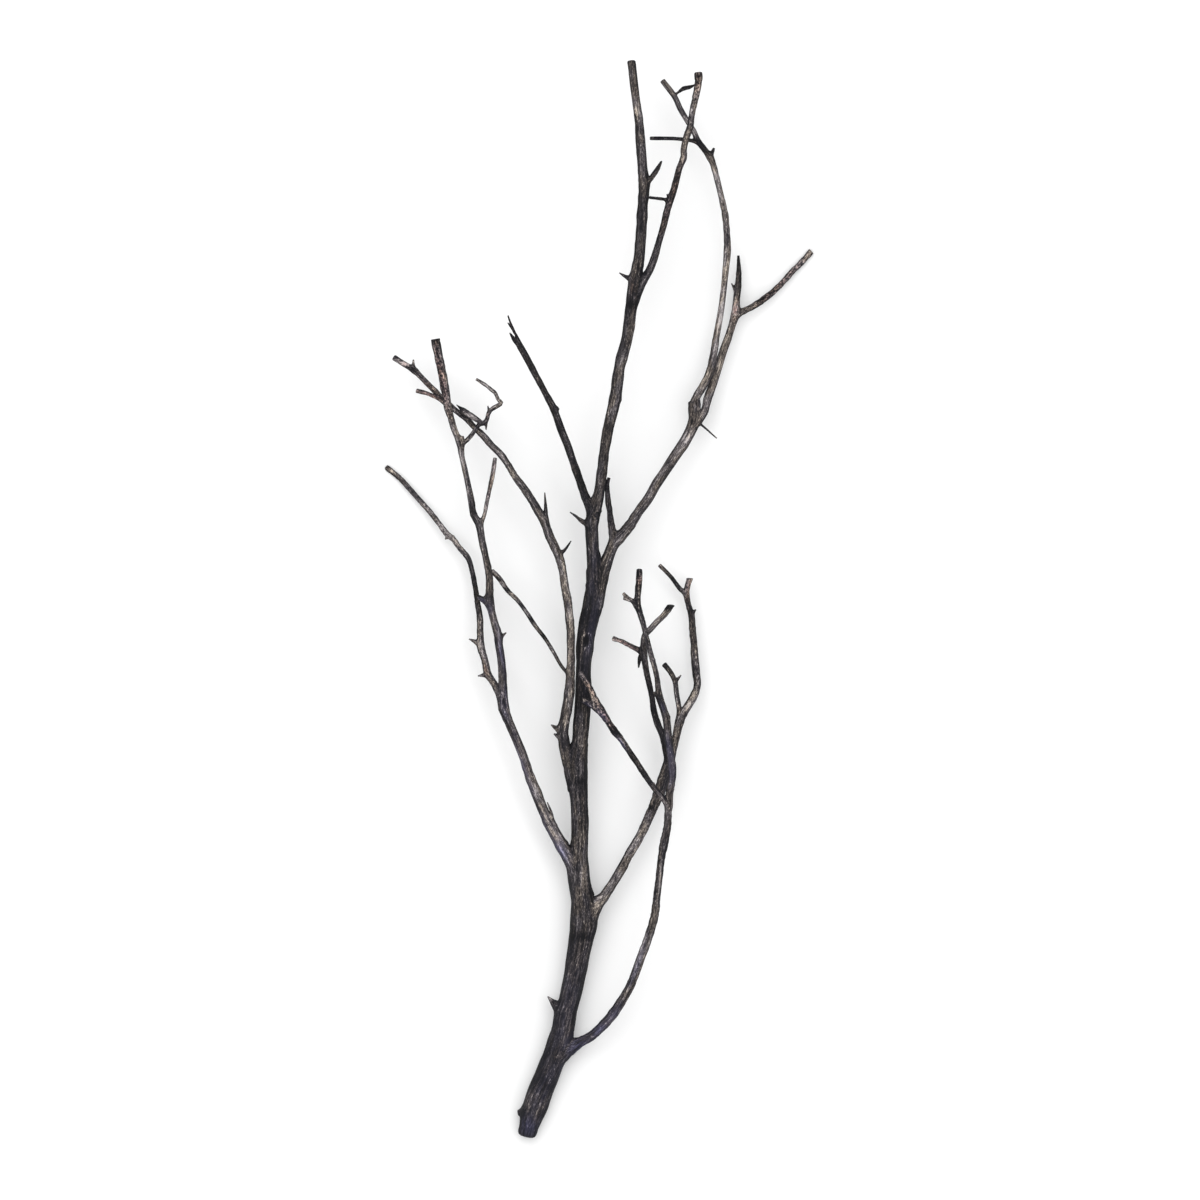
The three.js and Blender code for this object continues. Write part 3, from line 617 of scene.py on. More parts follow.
# %% Middle limb
grow("middle limb", LIMB, "stem", [
    (579, 884, 30, 13), (571.4, 862, 32, 12), (562.6, 846.4, 34, 11.4), (553.6, 829.4, 36, 11),
    (545.2, 812.9, 38, 10), (537.6, 794.5, 40, 9.6), (530.1, 776.2, 41.5, 9.2), (524.1, 757.6, 43, 8.6),
    (518, 741.6, 44, 8.2), (510.4, 723.6, 45, 8.2), (504.7, 708, 46, 9), (503.2, 685, 47, 7.6),
    (502.4, 670, 47, 7), (501, 655, 47.5, 6.9), (499.3, 644, 48, 7), (498.6, 635, 48, 7.5),
    (494.7, 621, 48, 7), (491.7, 609, 48.5, 7), (490, 599.7, 49, 8), (489.9, 586, 50, 7.2),
    (489.4, 574, 50, 7), (485.6, 555, 50.5, 5.8), (482.5, 541, 51, 6), (479.4, 523.6, 51.5, 6.5),
    (474, 513, 52, 6), (471.8, 500.6, 53, 5.5), (469.1, 487, 53.5, 4.9), (465.8, 471.5, 54, 4.9),
    (462, 455, 55, 4.9), (460.3, 442.5, 56, 6), (455.3, 430, 56.5, 5.3), (451.6, 418, 57, 6),
    (448.4, 406, 58, 7.5), (446.5, 393.5, 59, 7.5), (444.2, 381, 59.5, 8.2), (441.2, 366, 60, 8.2),
    (438, 350.6, 60.5, 7.5), (436, 339, 61, 7.8),
], end="cut")
grow("sliver under the fork", THORN, "middle limb", [
    (552, 826, 37, 6), (552, 814, 41, 3), (547.6, 801.5, 44, 0.9),
])
grow("short spur", THORN, "middle limb", [
    (499, 637, 48, 5), (503, 634.5, 48, 3), (506.4, 631.7, 48, 1),
])
grow("stub opposite", THORN, "middle limb", [
    (489.6, 602.6, 49, 6), (484, 599.4, 49, 5.2), (479, 596.2, 49, 4.6),
], web=0.9)
grow("straight twig", TWIG, "middle limb", [
    (480, 526, 51.5, 4), (482.6, 519.6, 52, 3.4), (484.8, 513.4, 53, 3), (487, 502, 54, 3.2),
    (490.2, 487, 55, 3.4), (493.2, 473, 56, 3.6), (495.4, 458, 57, 3.4),
])
grow("kinked twig", TWIG, "middle limb", [
    (460.5, 441, 56, 5.4), (466, 440.6, 57, 4), (470.4, 436, 57.5, 3.4), (475.6, 429, 58, 3.4),
    (479.6, 424, 58.3, 3.6), (485, 422, 58.5, 3.6), (487.4, 418, 58.6, 3.4), (489.4, 411.6, 59, 3.4),
    (493.4, 407.6, 59.5, 3.6), (498.2, 404.8, 60, 3.8), (501.4, 402.4, 60, 3.4), (498.6, 398.8, 60.3, 3.2),
    (496, 393, 60.8, 3), (490.6, 388, 61.2, 3), (484.4, 383.4, 61.5, 2.8), (477.4, 378.8, 62, 2.6),
])
grow("barb on the kinked twig", THORN, "kinked twig", [
    (490, 412, 59, 3), (488.8, 408.4, 59, 2), (488.2, 405.4, 59, 0.9),
], web=0.2)
grow("knob on the kinked twig", THORN, "middle limb", [
    (462, 444, 56, 6), (462.4, 437, 57.5, 4.4),
])
grow("thorn on the kinked twig", THORN, "kinked twig", [
    (486, 419.5, 58.5, 3.6), (486.5, 424.4, 58.5, 2.4), (486.5, 429, 58.5, 0.9),
], web=0.2)
grow("sharp arm", THORN, "kinked twig", [
    (482.4, 422, 58.5, 3.6), (473.4, 416.4, 58, 6), (464, 410, 57.5, 5.4), (456.8, 404, 57, 1.2),
], web=0.15)
print(f"the middle limb is {limbs['middle limb']['line']['reached'][-1]:.0f} mm long")

# %% [markdown]
# ## The low twig on the left
#
# The other arm of the fork. Hooked thorns stand on it. It sinks to the surface and is the
# second point that the branch lies on.

# %% Low twig
grow("low twig", TWIG, "middle limb", [
    (504, 708, 46, 8), (500, 694.6, 45, 7), (494, 682.4, 43, 6.2), (488, 673, 41, 6.5),
    (484.8, 658, 39, 6), (481, 645.6, 37, 7), (480.5, 632, 34.5, 5.8), (480, 616.5, 32, 5.8),
    (477.4, 601, 29.5, 5), (475.2, 586, 27, 4.6), (472.2, 570.6, 24.5, 5), (468, 557, 22, 5),
    (459, 546, 19.5, 4.6), (452.7, 537.4, 17, 4.8), (447.3, 533.2, 16, 5.3), (438.2, 521.3, 13.6, 4.3),
    (428.7, 509.5, 11, 4.2), (418.4, 498, 8.6, 4.4), (409.2, 487.4, 6.4, 4.2), (399.6, 477, 4.2, 4.4),
    (386.8, 466.4, 1.8, 5),
])
grow("first low thorn", THORN, "low twig", [
    (489, 674, 41, 5.6), (484, 674.2, 41, 4), (478.4, 675, 41, 1),
])
grow("second low thorn", THORN, "low twig", [
    (481, 644, 37, 6), (475, 640.6, 37, 4), (469.4, 638.1, 37, 1),
])
grow("third low thorn", THORN, "low twig", [
    (448, 535.5, 16, 4.4), (445.2, 538, 16, 1),
])
print(len(limbs), "limbs so far")

# %% [markdown]
# ## The upper limb on the left
#
# It runs close beside the stem, then sweeps to the left past the middle limb. The long thin
# twig that grows back from it is thicker at its tip than at its root, as on the real branch.

# %% Upper limb
grow("upper limb", LIMB, "stem", [
    (574.4, 790, 38, 11.4), (568.2, 764, 40, 9.6), (565, 748, 41, 9.4), (563.8, 736, 43, 9.6),
    (563, 729, 44, 10.3), (565.4, 718, 46, 9.8), (567.3, 708, 47, 10), (568.7, 699, 48, 10),
    (570, 686, 49.5, 9.2), (570.4, 672, 51, 8.4), (571, 659, 52, 7.4), (571, 647, 53, 7.3),
    (571, 632, 54, 7.5), (569.8, 616.5, 54.5, 7.8), (568.2, 601, 55, 8), (565.2, 586, 55.5, 7),
    (563, 570.6, 56, 6.6), (560, 558.4, 57, 8), (556.4, 549.4, 57, 8), (549.6, 534.6, 57, 7.6),
    (545, 521, 57, 8.4), (538.8, 510.6, 56.5, 8), (531.6, 498.3, 56, 7.4), (523.2, 486.1, 55.5, 7.2),
    (515.5, 475.9, 55, 6.5), (508.2, 463.9, 53.5, 6), (500.5, 453.2, 52, 5.9), (491.2, 443.8, 51, 6),
    (482.6, 433.8, 50, 5.8), (476.4, 428.2, 49, 4.9), (467.6, 418.8, 48, 4.9), (459.6, 412.6, 47, 4.9),
    (451.8, 406.6, 46, 5), (443.5, 399.6, 45, 5), (435.8, 391, 44, 5), (428, 383, 43, 5),
    (419, 373.6, 42, 5), (414.4, 369, 41.5, 6), (406.7, 364.4, 41, 5), (400.6, 360.6, 40.5, 5),
    (395, 357, 40, 5),
], web=0.25)
grow("spur by the crotch", THORN, "upper limb", [
    (563, 729, 44, 8), (557, 727.4, 45, 5.6), (551.6, 724, 46, 1.2),
])
grow("lower spur", THORN, "upper limb", [
    (564, 737, 43, 8), (558.6, 735.6, 43.6, 5), (555, 732.6, 44, 1.8),
])
grow("thorn to the right", THORN, "upper limb", [
    (560, 553, 57, 4.4), (565, 549, 57.5, 2.8), (571.2, 540.2, 58, 0.9),
])
grow("upright thorn", THORN, "upper limb", [
    (546, 519, 57, 5.4), (546, 510, 58, 3.6), (545, 492, 59, 0.9),
])
grow("end spur", THORN, "upper limb", [
    (414, 370, 41.5, 4.8), (413.6, 364, 42, 3), (413.6, 359, 42, 1.2),
])
grow("side twig", TWIG, "upper limb", [
    (450, 404.4, 46, 4.4), (442, 399.4, 47.5, 4), (434, 395.4, 47.5, 3.3), (426.4, 392.4, 47, 3.3),
    (417.4, 390.1, 46.5, 3.4),
])
grow("long thin twig", TWIG, "upper limb", [
    (569.5, 673, 51, 3.4), (565, 669.2, 51, 2.6), (560.7, 663.5, 50.5, 2.6), (554.5, 652.5, 50, 2.8),
    (545.3, 637.5, 48.5, 3), (535, 624, 46.5, 3.4), (526.9, 611.4, 45, 3.4), (517.8, 599.4, 44, 3.4),
    (507.6, 589.2, 43, 4), (499.7, 578, 42, 4.8), (492.6, 570.4, 41, 4.3),
], web=0.25)
print(f"the upper limb is {limbs['upper limb']['line']['reached'][-1]:.0f} mm long")

# %% [markdown]
# ## The rear limb on the right
#
# It stays low and divides into a curved main end, a short end with a spur, and a dark stem
# that climbs between the others.

# %% Rear limb
grow("rear limb", LIMB, "stem", [
    (586, 921, 26, 14), (595.6, 906, 26, 12), (602.5, 898, 25, 9.4), (611.6, 884.6, 24, 8.2),
    (621.4, 869, 23, 8.4), (630, 853, 22.5, 8), (639, 838, 22, 8), (646.4, 822.4, 22, 9),
    (652.4, 808.6, 22, 9.2), (658.6, 794.4, 22.5, 11), (661.6, 786, 23, 11.4), (664.3, 776.6, 23.5, 11),
    (668, 767, 24, 11), (671.4, 757, 24.5, 8), (673.7, 748, 25, 6.7), (675.4, 740, 25, 6.5),
    (677.7, 729, 25.5, 7.2), (680, 719.5, 26, 8), (683.7, 712, 25.5, 7.4), (690, 702, 24, 7),
    (695, 693, 22, 6.5), (697.8, 684, 20, 6.4), (696.5, 671, 19, 6.9), (695.2, 655, 18, 6.8),
    (694, 639.5, 18, 6.3), (692.7, 627, 18, 6.2), (692, 616.5, 18.5, 6), (688.8, 604, 19.5, 5),
    (686.9, 593.6, 20, 5.2), (688, 584.6, 21, 5), (690, 577.8, 22, 5.2),
], end="cut", slant=0.25, slant_way=np.pi, web=1.0)
grow("short end", TWIG, "rear limb", [
    (680.4, 721, 26, 6), (679, 706, 27, 4), (676.8, 693, 28, 4), (675.5, 682, 29, 4),
    (673, 675.3, 30, 4), (669.3, 669.2, 31, 4.2), (664.9, 663.9, 32, 4.4),
])
grow("short end spur", THORN, "short end", [
    (676, 680.5, 29, 3.4), (678.4, 677.6, 29, 2.6), (681.2, 674.4, 29, 1),
])
grow("rear thorn", THORN, "rear limb", [
    (691.6, 614, 18.6, 5), (695.9, 608.8, 18.6, 1.4),
])
grow("rear side twig", TWIG, "rear limb", [
    (687, 594, 20, 4.2), (679.6, 587, 21.6, 3.6), (674.4, 580, 23, 3.5), (668, 572.4, 24.5, 3.5),
    (660.2, 564.8, 26, 3.4),
], web=0.2)
grow("dark rear stem", TWIG, "rear limb", [
    (668, 768, 24, 7), (667.6, 758.6, 27, 6), (665.6, 748, 30.5, 5.8), (662.4, 734, 35, 5.7),
    (657.3, 721.6, 39, 5.7), (654, 709, 42.5, 5.2), (652.4, 697, 45.5, 4.8), (649.9, 684.6, 48.5, 5),
    (646.5, 670, 52, 5.5), (644.2, 655, 55, 6.4), (643.5, 643, 58, 6), (644.8, 634.4, 60, 5.4),
    (651, 627.5, 62, 5.4), (657.5, 620.4, 64, 5.4), (663.9, 614.4, 66.5, 5.4), (670.8, 604.6, 69, 6),
], end="cut", slant=0.5, slant_way=np.pi)
grow("dark side twig", TWIG, "dark rear stem", [
    (644, 653, 55, 4.6), (636.5, 647.6, 54, 4.8), (630, 644.6, 52.5, 4), (624, 641.4, 51, 3.8),
    (618.9, 639.4, 50, 3.5), (614, 637.8, 49, 4.6),
])
grow("torn thorn", THORN, "dark rear stem", [
    (643, 652, 55, 4.6), (640, 657.6, 54, 4.2), (638.8, 666.4, 53, 1.2),
], web=0.25)
print(len(limbs), "limbs so far")

# %% [markdown]
# ## The front limb on the right
#
# It rises towards the eye in one long curve. The knotted twig leaves it and crosses over the
# rear limb and the stem, where it ends in a fork with a broken, torn stub.

# %% Front limb
grow("front limb", LIMB, "stem", [
    (560, 1055, 17, 16), (571, 1047.4, 18.5, 12.6), (580.4, 1041.4, 20, 9.2), (590.8, 1036, 23.4, 8.2),
    (604, 1024, 28, 8.7), (613, 1013.5, 32, 9), (622, 1000, 36, 8.7), (630, 986, 40, 8.4),
    (636, 970.6, 44, 8), (641.4, 955, 48, 8), (647, 940, 52, 7.8), (654.5, 916, 56.5, 7.3),
    (656.8, 898, 60, 6.5), (659, 878, 64, 5.9), (661.4, 856, 68, 6.5), (664.4, 839.5, 71, 7.8),
    (667.5, 824, 74, 7.2), (668.3, 810, 76, 6.8), (669, 801, 77, 7.5), (669.8, 790.5, 77.5, 7.5),
    (672, 778, 78, 7), (672.3, 767.6, 77.5, 7), (671, 755, 77, 6.8), (669, 742, 76.5, 6.4),
    (667.6, 729, 76, 6.2), (666.3, 717, 76, 6.5), (663, 706, 76.5, 6), (660, 697, 77, 6),
    (658.2, 686, 78.5, 4.6), (657, 676, 80, 4.3), (654.6, 666, 82, 4.4), (651.2, 655, 84, 4.5),
    (648, 642, 86, 4.5), (645.5, 632, 87, 4.6), (643, 621.6, 88, 5), (639.7, 611, 89, 5.4),
    (637.8, 602.5, 90, 5.8), (638.1, 591, 91, 6), (639, 582, 92, 6), (639.4, 569.6, 93, 5),
])
grow("front bump", THORN, "front limb", [
    (666.6, 716, 76, 5.6), (668.6, 714.6, 76, 3.6),
])
grow("front stub", THORN, "front limb", [
    (660, 697, 77, 5), (656.6, 694, 77, 4), (654, 692, 77, 3.2),
])
grow("front side twig", TWIG, "front limb", [
    (636.8, 607, 90, 3.8), (632.4, 600.2, 90.5, 3.6), (627.6, 597, 91, 3.6), (623.8, 592.8, 91.5, 2.6),
])
grow("fork of the side twig", THORN, "front side twig", [
    (629.4, 598.6, 91, 3), (624, 598, 91, 2.4),
])
grow("knotted twig", LIMB, "front limb", [
    (669.2, 803.6, 77, 6), (663.6, 797.8, 79.5, 5.2), (659.4, 792.8, 81, 4.9), (652.2, 784, 83, 4.6),
    (644.6, 773, 84, 4.8), (637, 761, 84, 4.9), (629.3, 749.7, 84, 5), (621.6, 738, 84, 5.2),
    (615.3, 730.6, 83.5, 6.9), (610, 723, 83.5, 6), (605, 715, 83, 6.5), (599, 706.5, 82, 8),
    (594.8, 697.4, 81, 6), (589.7, 686, 80, 5), (584.6, 678, 79, 4.8), (581.4, 671.8, 78, 4.6),
])
grow("knotted twig sliver", THORN, "knotted twig", [
    (654.4, 788, 83, 3), (654, 781.4, 84, 1.2),
])
grow("broken stub", TWIG, "knotted twig", [
    (601, 709.6, 82, 6), (592.6, 703.6, 79, 6), (584.6, 699.2, 76, 5.6),
], end="torn")
print(len(limbs), "limbs in all")

# %% [markdown]
# ## Welding the limbs into one skin
#
# The tubes run into one another, but the real branch is one body with no walls inside it. A
# Boolean union cuts away what lies inside. Joining the tubes as they are would be quicker,
# but the hidden walls would stay, and the crotches could not be rounded.

# %% Weld
tubes = bpy.data.collections.new("tubes")
bpy.context.scene.collection.children.link(tubes)
for name, limb in limbs.items():
    tube_vertices, tube_faces = skin(limb)
    tube_mesh = bpy.data.meshes.new(name)
    tube_mesh.from_pydata((tube_vertices * MM).tolist(), [], tube_faces)
    tube = bpy.data.objects.new(name, tube_mesh)
    home = bpy.context.scene.collection if name == "stem" else tubes
    home.objects.link(tube)
stem_tube = bpy.data.objects["stem"]
union = stem_tube.modifiers.new("weld", "BOOLEAN")
union.operation = "UNION"
union.operand_type = "COLLECTION"
union.collection = tubes
union.solver = "MANIFOLD"
depsgraph = bpy.context.evaluated_depsgraph_get()
bark_mesh = bpy.data.meshes.new_from_object(stem_tube.evaluated_get(depsgraph))
bark_mesh.name = "bark"
for tube in [stem_tube, *tubes.objects]:
    bpy.data.objects.remove(tube)
bpy.data.collections.remove(tubes)
print("vertices and faces after the weld:", len(bark_mesh.vertices), len(bark_mesh.polygons))

# %% [markdown]
# ## Where a point lies on a limb
#
# Rounding the crotches and painting the bark both need the same facts about a point: how far
# it lies outside a limb's smooth tube, how far along the limb it is, and which way is out.

# %% Distances to a limb
POINTS_AT_ONCE = 3000  # so that the table of distances stays small


def between(values, low, high):
    """0 below low, 1 above high, and a smooth rise between them."""
    share = np.clip((values - low) / (high - low), 0, 1)
    return share * share * (3 - 2 * share)


def near(limb, points):
    """Gap to the tube, place along the limb, angle round it, radius there, and the way out."""
    line = limb["line"]
    middle, reached_at = line["middle"], line["reached"]
    nearest = np.empty(len(points), int)
    for first in range(0, len(points), POINTS_AT_ONCE):
        part = slice(first, first + POINTS_AT_ONCE)
        apart = points[part, None, :] - middle[None]
        nearest[part] = (apart**2).sum(axis=2).argmin(axis=1)
    ahead = ((points - middle[nearest]) * line["along"][nearest]).sum(axis=1)
    reached = np.clip(reached_at[nearest] + ahead, 0, reached_at[-1])
    centre = np.stack([np.interp(reached, reached_at, middle[:, axis]) for axis in range(3)], axis=1)
    radius = np.interp(reached, reached_at, line["radius"])
    out = points - centre
    angle = np.arctan2(
        (out * line["other"][nearest]).sum(axis=1), (out * line["side"][nearest]).sum(axis=1)
    )
    return np.linalg.norm(out, axis=1) - radius, reached, angle, radius, unit(out)


def around(limb, points, margin):
    """The indices of the points within the limb's box, grown by a margin."""
    middle = limb["line"]["middle"]
    margin = margin + limb["line"]["radius"].max()
    inside = (points > middle.min(axis=0) - margin) & (points < middle.max(axis=0) + margin)
    return np.flatnonzero(inside.all(axis=1))


def numbers(items, kind, width, what=float):
    """A mesh list's values as an array."""
    values = np.empty(len(items) * width, what)
    items.foreach_get(kind, values)
    return values.reshape(-1, width) if width > 1 else values


points = numbers(bark_mesh.vertices, "co", 3) / MM
edges = numbers(bark_mesh.edges, "vertices", 2, np.int32)
print("box of the weld, in millimetres:", points.min(axis=0).round(1), points.max(axis=0).round(1))

# %% [markdown]
# ## Real crotches
#
# Wood fills the corner where a limb leaves its parent, so the real crotch is a smooth saddle.
# A bevel can't follow such a ragged seam. Here each vertex near the seam moves out until a
# softened mix of its two distances is right, which is how modelling programs blend two forms.
# The mix fades away along the limb, so that limbs that only pass close by stay apart.

# %% Round the crotches
CROTCH_LEAST = 1.0         # millimetres
CROTCH_TURNS = 6           # each turn brings the vertices nearer to their place
CROTCH_FADE = (0.3, 1.7)   # where the mix fades, in widths past the place where the limb leaves
LONGEST_STEP = 0.3         # of one turn, as a share of the crotch's reach
LEAST_WAY = 0.07           # keeps a step short where the two ways out cancel
RELAX_PASSES = 4
RELAX_PACE = 0.5           # of the way to the middle of the neighbours, in each pass


def round_crotch(child, parent, relaxed):
    """Moves the vertices near one crotch, and adds to how much each is to be relaxed."""
    line = child["line"]
    clear = near(parent, line["middle"])[0] > line["radius"]
    leaves = int(clear.argmax()) if clear.any() else len(clear) - 1
    width = 2 * line["radius"][leaves]
    left_at = line["reached"][leaves]
    reach = child["web"] * width + CROTCH_LEAST
    chosen = around(child, points, reach)
    gap, reached, _, _, _ = near(child, points[chosen])
    chosen = chosen[(gap < 2 * reach) & (reached < left_at + 2 * width)]
    for turn in range(CROTCH_TURNS):
        spot = points[chosen]
        child_gap, reached, _, _, child_out = near(child, spot)
        parent_gap, _, _, _, parent_out = near(parent, spot)
        if turn == 0:
            bark_height = np.minimum(child_gap, parent_gap)
        fade_from, fade_to = (left_at + place * width for place in CROTCH_FADE)
        fade = 1 - between(reached, fade_from, fade_to)
        soft = np.maximum(reach * fade, 0.01)
        share = np.clip(0.5 + 0.5 * (parent_gap - child_gap) / soft, 0, 1)
        mixed = share * child_gap + (1 - share) * parent_gap - soft * share * (1 - share)
        way = share[:, None] * child_out + (1 - share)[:, None] * parent_out
        pull = (bark_height - mixed) / np.maximum((way**2).sum(axis=1), LEAST_WAY)
        step = way * pull[:, None]
        length = np.maximum(np.linalg.norm(step, axis=1, keepdims=True), 1e-6)
        points[chosen] = spot + step * np.minimum(1, LONGEST_STEP * reach / length)
    relaxed[chosen] = np.maximum(relaxed[chosen], 4 * share * (1 - share) * fade)


def relax(amount, passes):
    """Draws each vertex towards the middle of its neighbours, by its own amount."""
    count = np.zeros(len(points))
    np.add.at(count, edges.ravel(), 1)
    for _ in range(passes):
        total = np.zeros_like(points)
        np.add.at(total, edges[:, 0], points[edges[:, 1]])
        np.add.at(total, edges[:, 1], points[edges[:, 0]])
        points[:] += (total / count[:, None] - points) * (amount * RELAX_PACE)[:, None]


relaxed = np.zeros(len(points))
for name, limb in limbs.items():
    if limb["parent"] is not None:
        round_crotch(limb, limbs[limb["parent"]], relaxed)
relax(relaxed, RELAX_PASSES)
print("vertices that belong to a crotch:", int((relaxed > 0.05).sum()))

# %% [markdown]
# ## What belongs to which limb
#
# A vertex takes its colours from the limbs near it, each by how close it is, so colours melt
# into each other at a crotch. The direction of the grain can't melt, because it is a
# coordinate, so each face takes it whole from one limb.

# %% Nearness of every vertex to every limb
MELT = 1.3      # millimetres over which one limb's colours melt into the next
MARGIN = 6      # millimetres round a limb, beyond which it counts for nothing
FAR = 1e3       # stands for any greater distance
gaps = np.full((len(limbs), len(points)), FAR)
places = np.zeros((len(limbs), len(points)))
upward = np.zeros((len(limbs), len(points)))
for row, limb in enumerate(limbs.values()):
    inside = around(limb, points, MARGIN)
    gap, place, _, _, out = near(limb, points[inside])
    gaps[row, inside], places[row, inside], upward[row, inside] = gap, place, out[:, 2]
closest = gaps.argmin(axis=0)
shares = np.exp(-(gaps - gaps.min(axis=0)) / MELT)
shares[gaps >= FAR] = 0
shares /= shares.sum(axis=0)
print("vertices of the stem's own bark:", int((closest == 0).sum()))

# %% [markdown]
# ## Tones along the limbs
#
# No two limbs have the same tone: the stem is charcoal with black bands, the whip is pale, the
# limb at the top left is nearly black. Each limb has a short list of places down the sheet and
# its tone there, from 0 for black to 1 for pale. A value below 0 keeps a band black where the
# painted top light pales the rest. A limb with no list follows its parent. One tone for the whole
# branch would be simpler, but it would look cast in one piece.

# %% Tones
TONES = {
    "stem": [
        (63, 0.26), (80, 0.3), (100, 0.36), (135, 0.3), (165, 0.24), (204, 0.24), (250, 0.22),
        (280, 0.24), (298, 0.06), (309, 0.04), (318, 0.26), (370, 0.36), (400, 0.34), (430, 0.28),
        # The black near 700 down, where the broken stub lies over the stem, is painted shadow.
        (500, 0.2), (560, 0.16), (600, 0.06), (632, -0.02), (650, 0.0), (700, 0.03), (712, 0.14),
        (724, 0.25), (752, 0.28), (762, 0.16), (776, 0.1), (790, 0.12), (800, 0.24), (890, 0.26),
        (925, 0.2), (938, 0.12), (950, 0.2), (1000, 0.14), (1040, 0.18), (1062, 0.17), (1073, 0.1),
        (1086, 0.08), (1096, 0.34), (1105, 0.34), (1113, 0.17), (1125, 0.19), (1140, 0.04),
    ],
    "low thorn": [(996, 0.5), (999, 0.42), (1003, 0.16), (1014, 0.14)],
    "dark limb": [(317, 0.0), (400, 0.02), (460, 0.06), (500, 0.14)],
    "thick limb": [(400, 0.12), (415, 0.32), (440, 0.42), (500, 0.37), (540, 0.34)],
    "stub on the thick limb": [(480, 0.08), (520, 0.26), (540, 0.36)],
    "whip": [
        (80, 0.43), (112, 0.46), (128, 0.64), (137, 0.5), (141, 0.12), (151, 0.12), (157, 0.5),
        (200, 0.58), (300, 0.62), (350, 0.57), (400, 0.44),
    ],
    "level twig": [(138, 0.08), (142, 0.16)],
    "whip blade": [(88, 0.06), (96, 0.1)],
    "spiky branch": [
        (255, 0.08), (271, 0.12), (279, 0.36), (292, 0.38), (302, 0.48), (335, 0.51), (380, 0.49),
        (405, 0.42),
    ],
    "right twig": [(250, 0.49), (285, 0.41), (292, 0.44), (301, 0.44), (308, 0.36)],
    "upright limb": [
        (74, 0.44), (77, 0.2), (80, 0.43), (95, 0.45), (110, 0.5), (125, 0.32), (140, 0.44),
        (155, 0.38), (170, 0.16), (185, 0.2), (195, 0.08), (215, 0.2), (250, 0.24), (275, 0.22),
        (290, 0.12),
    ],
    "fine twig": [(198, 0.06)],
    "middle limb": [
        (338, 0.1), (342, 0.16), (346, 0.39), (385, 0.41), (395, 0.5), (418, 0.5), (426, 0.64),
        (450, 0.58), (480, 0.5), (500, 0.36), (505, 0.24), (520, 0.24), (524, 0.38), (600, 0.34),
        (620, 0.42), (680, 0.36), (700, 0.26), (720, 0.35), (780, 0.51), (830, 0.53), (860, 0.44),
    ],
    "straight twig": [(458, 0.6), (520, 0.56)],
    "kinked twig": [
        (378, 0.32), (383, 0.48), (396, 0.49), (406, 0.62), (410, 0.22), (414, 0.48), (419, 0.26),
        (425, 0.08), (431, 0.44), (441, 0.46),
    ],
    "barb on the kinked twig": [(404, 0.2), (412, 0.3)],
    "sharp arm": [(403, 0.1), (406, 0.04), (410, 0.08), (414, 0.44), (420, 0.36), (424, 0.1)],
    "low twig": [
        (465, 0.16), (469, 0.68), (473, 0.36), (500, 0.48), (520, 0.52), (530, 0.62), (545, 0.64),
        (556, 0.32), (580, 0.16), (600, 0.16), (620, 0.42), (640, 0.54), (700, 0.4),
    ],
    "upper limb": [
        (354, 0.12), (357, 0.14), (359, 0.5), (363.5, 0.52), (366, 0.1), (369, 0.1), (373, 0.32),
        (385, 0.4), (402, 0.4), (410, 0.26), (430, 0.4), (480, 0.4), (520, 0.3), (545, 0.44),
        (640, 0.48), (660, 0.41), (715, 0.41), (735, 0.32), (760, 0.24), (800, 0.28),
    ],
    "side twig": [(390, 0.46), (404, 0.46)],
    "thorn to the right": [(540, 0.06), (553, 0.14)],
    "long thin twig": [
        (566, 0.6), (574, 0.66), (578, 0.0), (582, 0.64), (586, 0.5), (588, -0.1), (592, 0.6),
        (601, 0.52), (604, -0.1), (608, 0.48), (615, 0.46), (618, -0.1), (622, 0.44), (631, 0.38),
        (635, -0.1), (640, 0.32), (655, 0.22), (668, 0.2), (674, 0.5),
    ],
    "rear limb": [
        (570, 0.64), (592, 0.56), (600, 0.26), (660, 0.26), (688, 0.28), (693, 0.5), (708, 0.6),
        (716, 0.34), (756, 0.34), (762, 0.2), (783, 0.22), (800, 0.36), (806, 0.28), (815, 0.5),
        (905, 0.5),
    ],
    "rear side twig": [(564, 0.46), (572, 0.34), (578, 0.08), (584, 0.16), (590, 0.3)],
    "short end": [(662, 0.04), (668, 0.1), (676, 0.3), (690, 0.26), (720, 0.26)],
    "dark rear stem": [
        (604, 0.0), (608, 0.02), (611, 0.47), (636, 0.45), (644, 0.29), (655, 0.32), (668, 0.12),
        (700, 0.06), (760, 0.14),
    ],
    "dark side twig": [(637, 0.38), (645, 0.4), (652, 0.46)],
    "torn thorn": [(655, 0.0), (680, 0.0)],
    "front limb": [
        (570, 0.1), (577, 0.14), (580, 0.5), (583, 0.12), (600, 0.2), (640, 0.22), (660, 0.3),
        (690, 0.28), (700, 0.1), (712, 0.24), (760, 0.28), (790, 0.43), (808, 0.41), (815, 0.28),
        (865, 0.32), (880, 0.44), (960, 0.48), (1020, 0.36), (1040, 0.24),
    ],
    "front side twig": [(594, 0.56), (600, 0.54), (604, 0.12)],
    "knotted twig": [
        (672, 0.42), (690, 0.46), (700, 0.38), (715, 0.4), (725, 0.07), (732, 0.07), (736, 0.4),
        (746, 0.36), (752, 0.08), (772, 0.08), (780, 0.22), (800, 0.32),
    ],
    "knotted twig sliver": [(780, 0.66), (787, 0.4)],
    "broken stub": [(698, 0.6), (701, 0.2), (710, 0.24)],
}
print(len(TONES), "limbs have tones of their own")
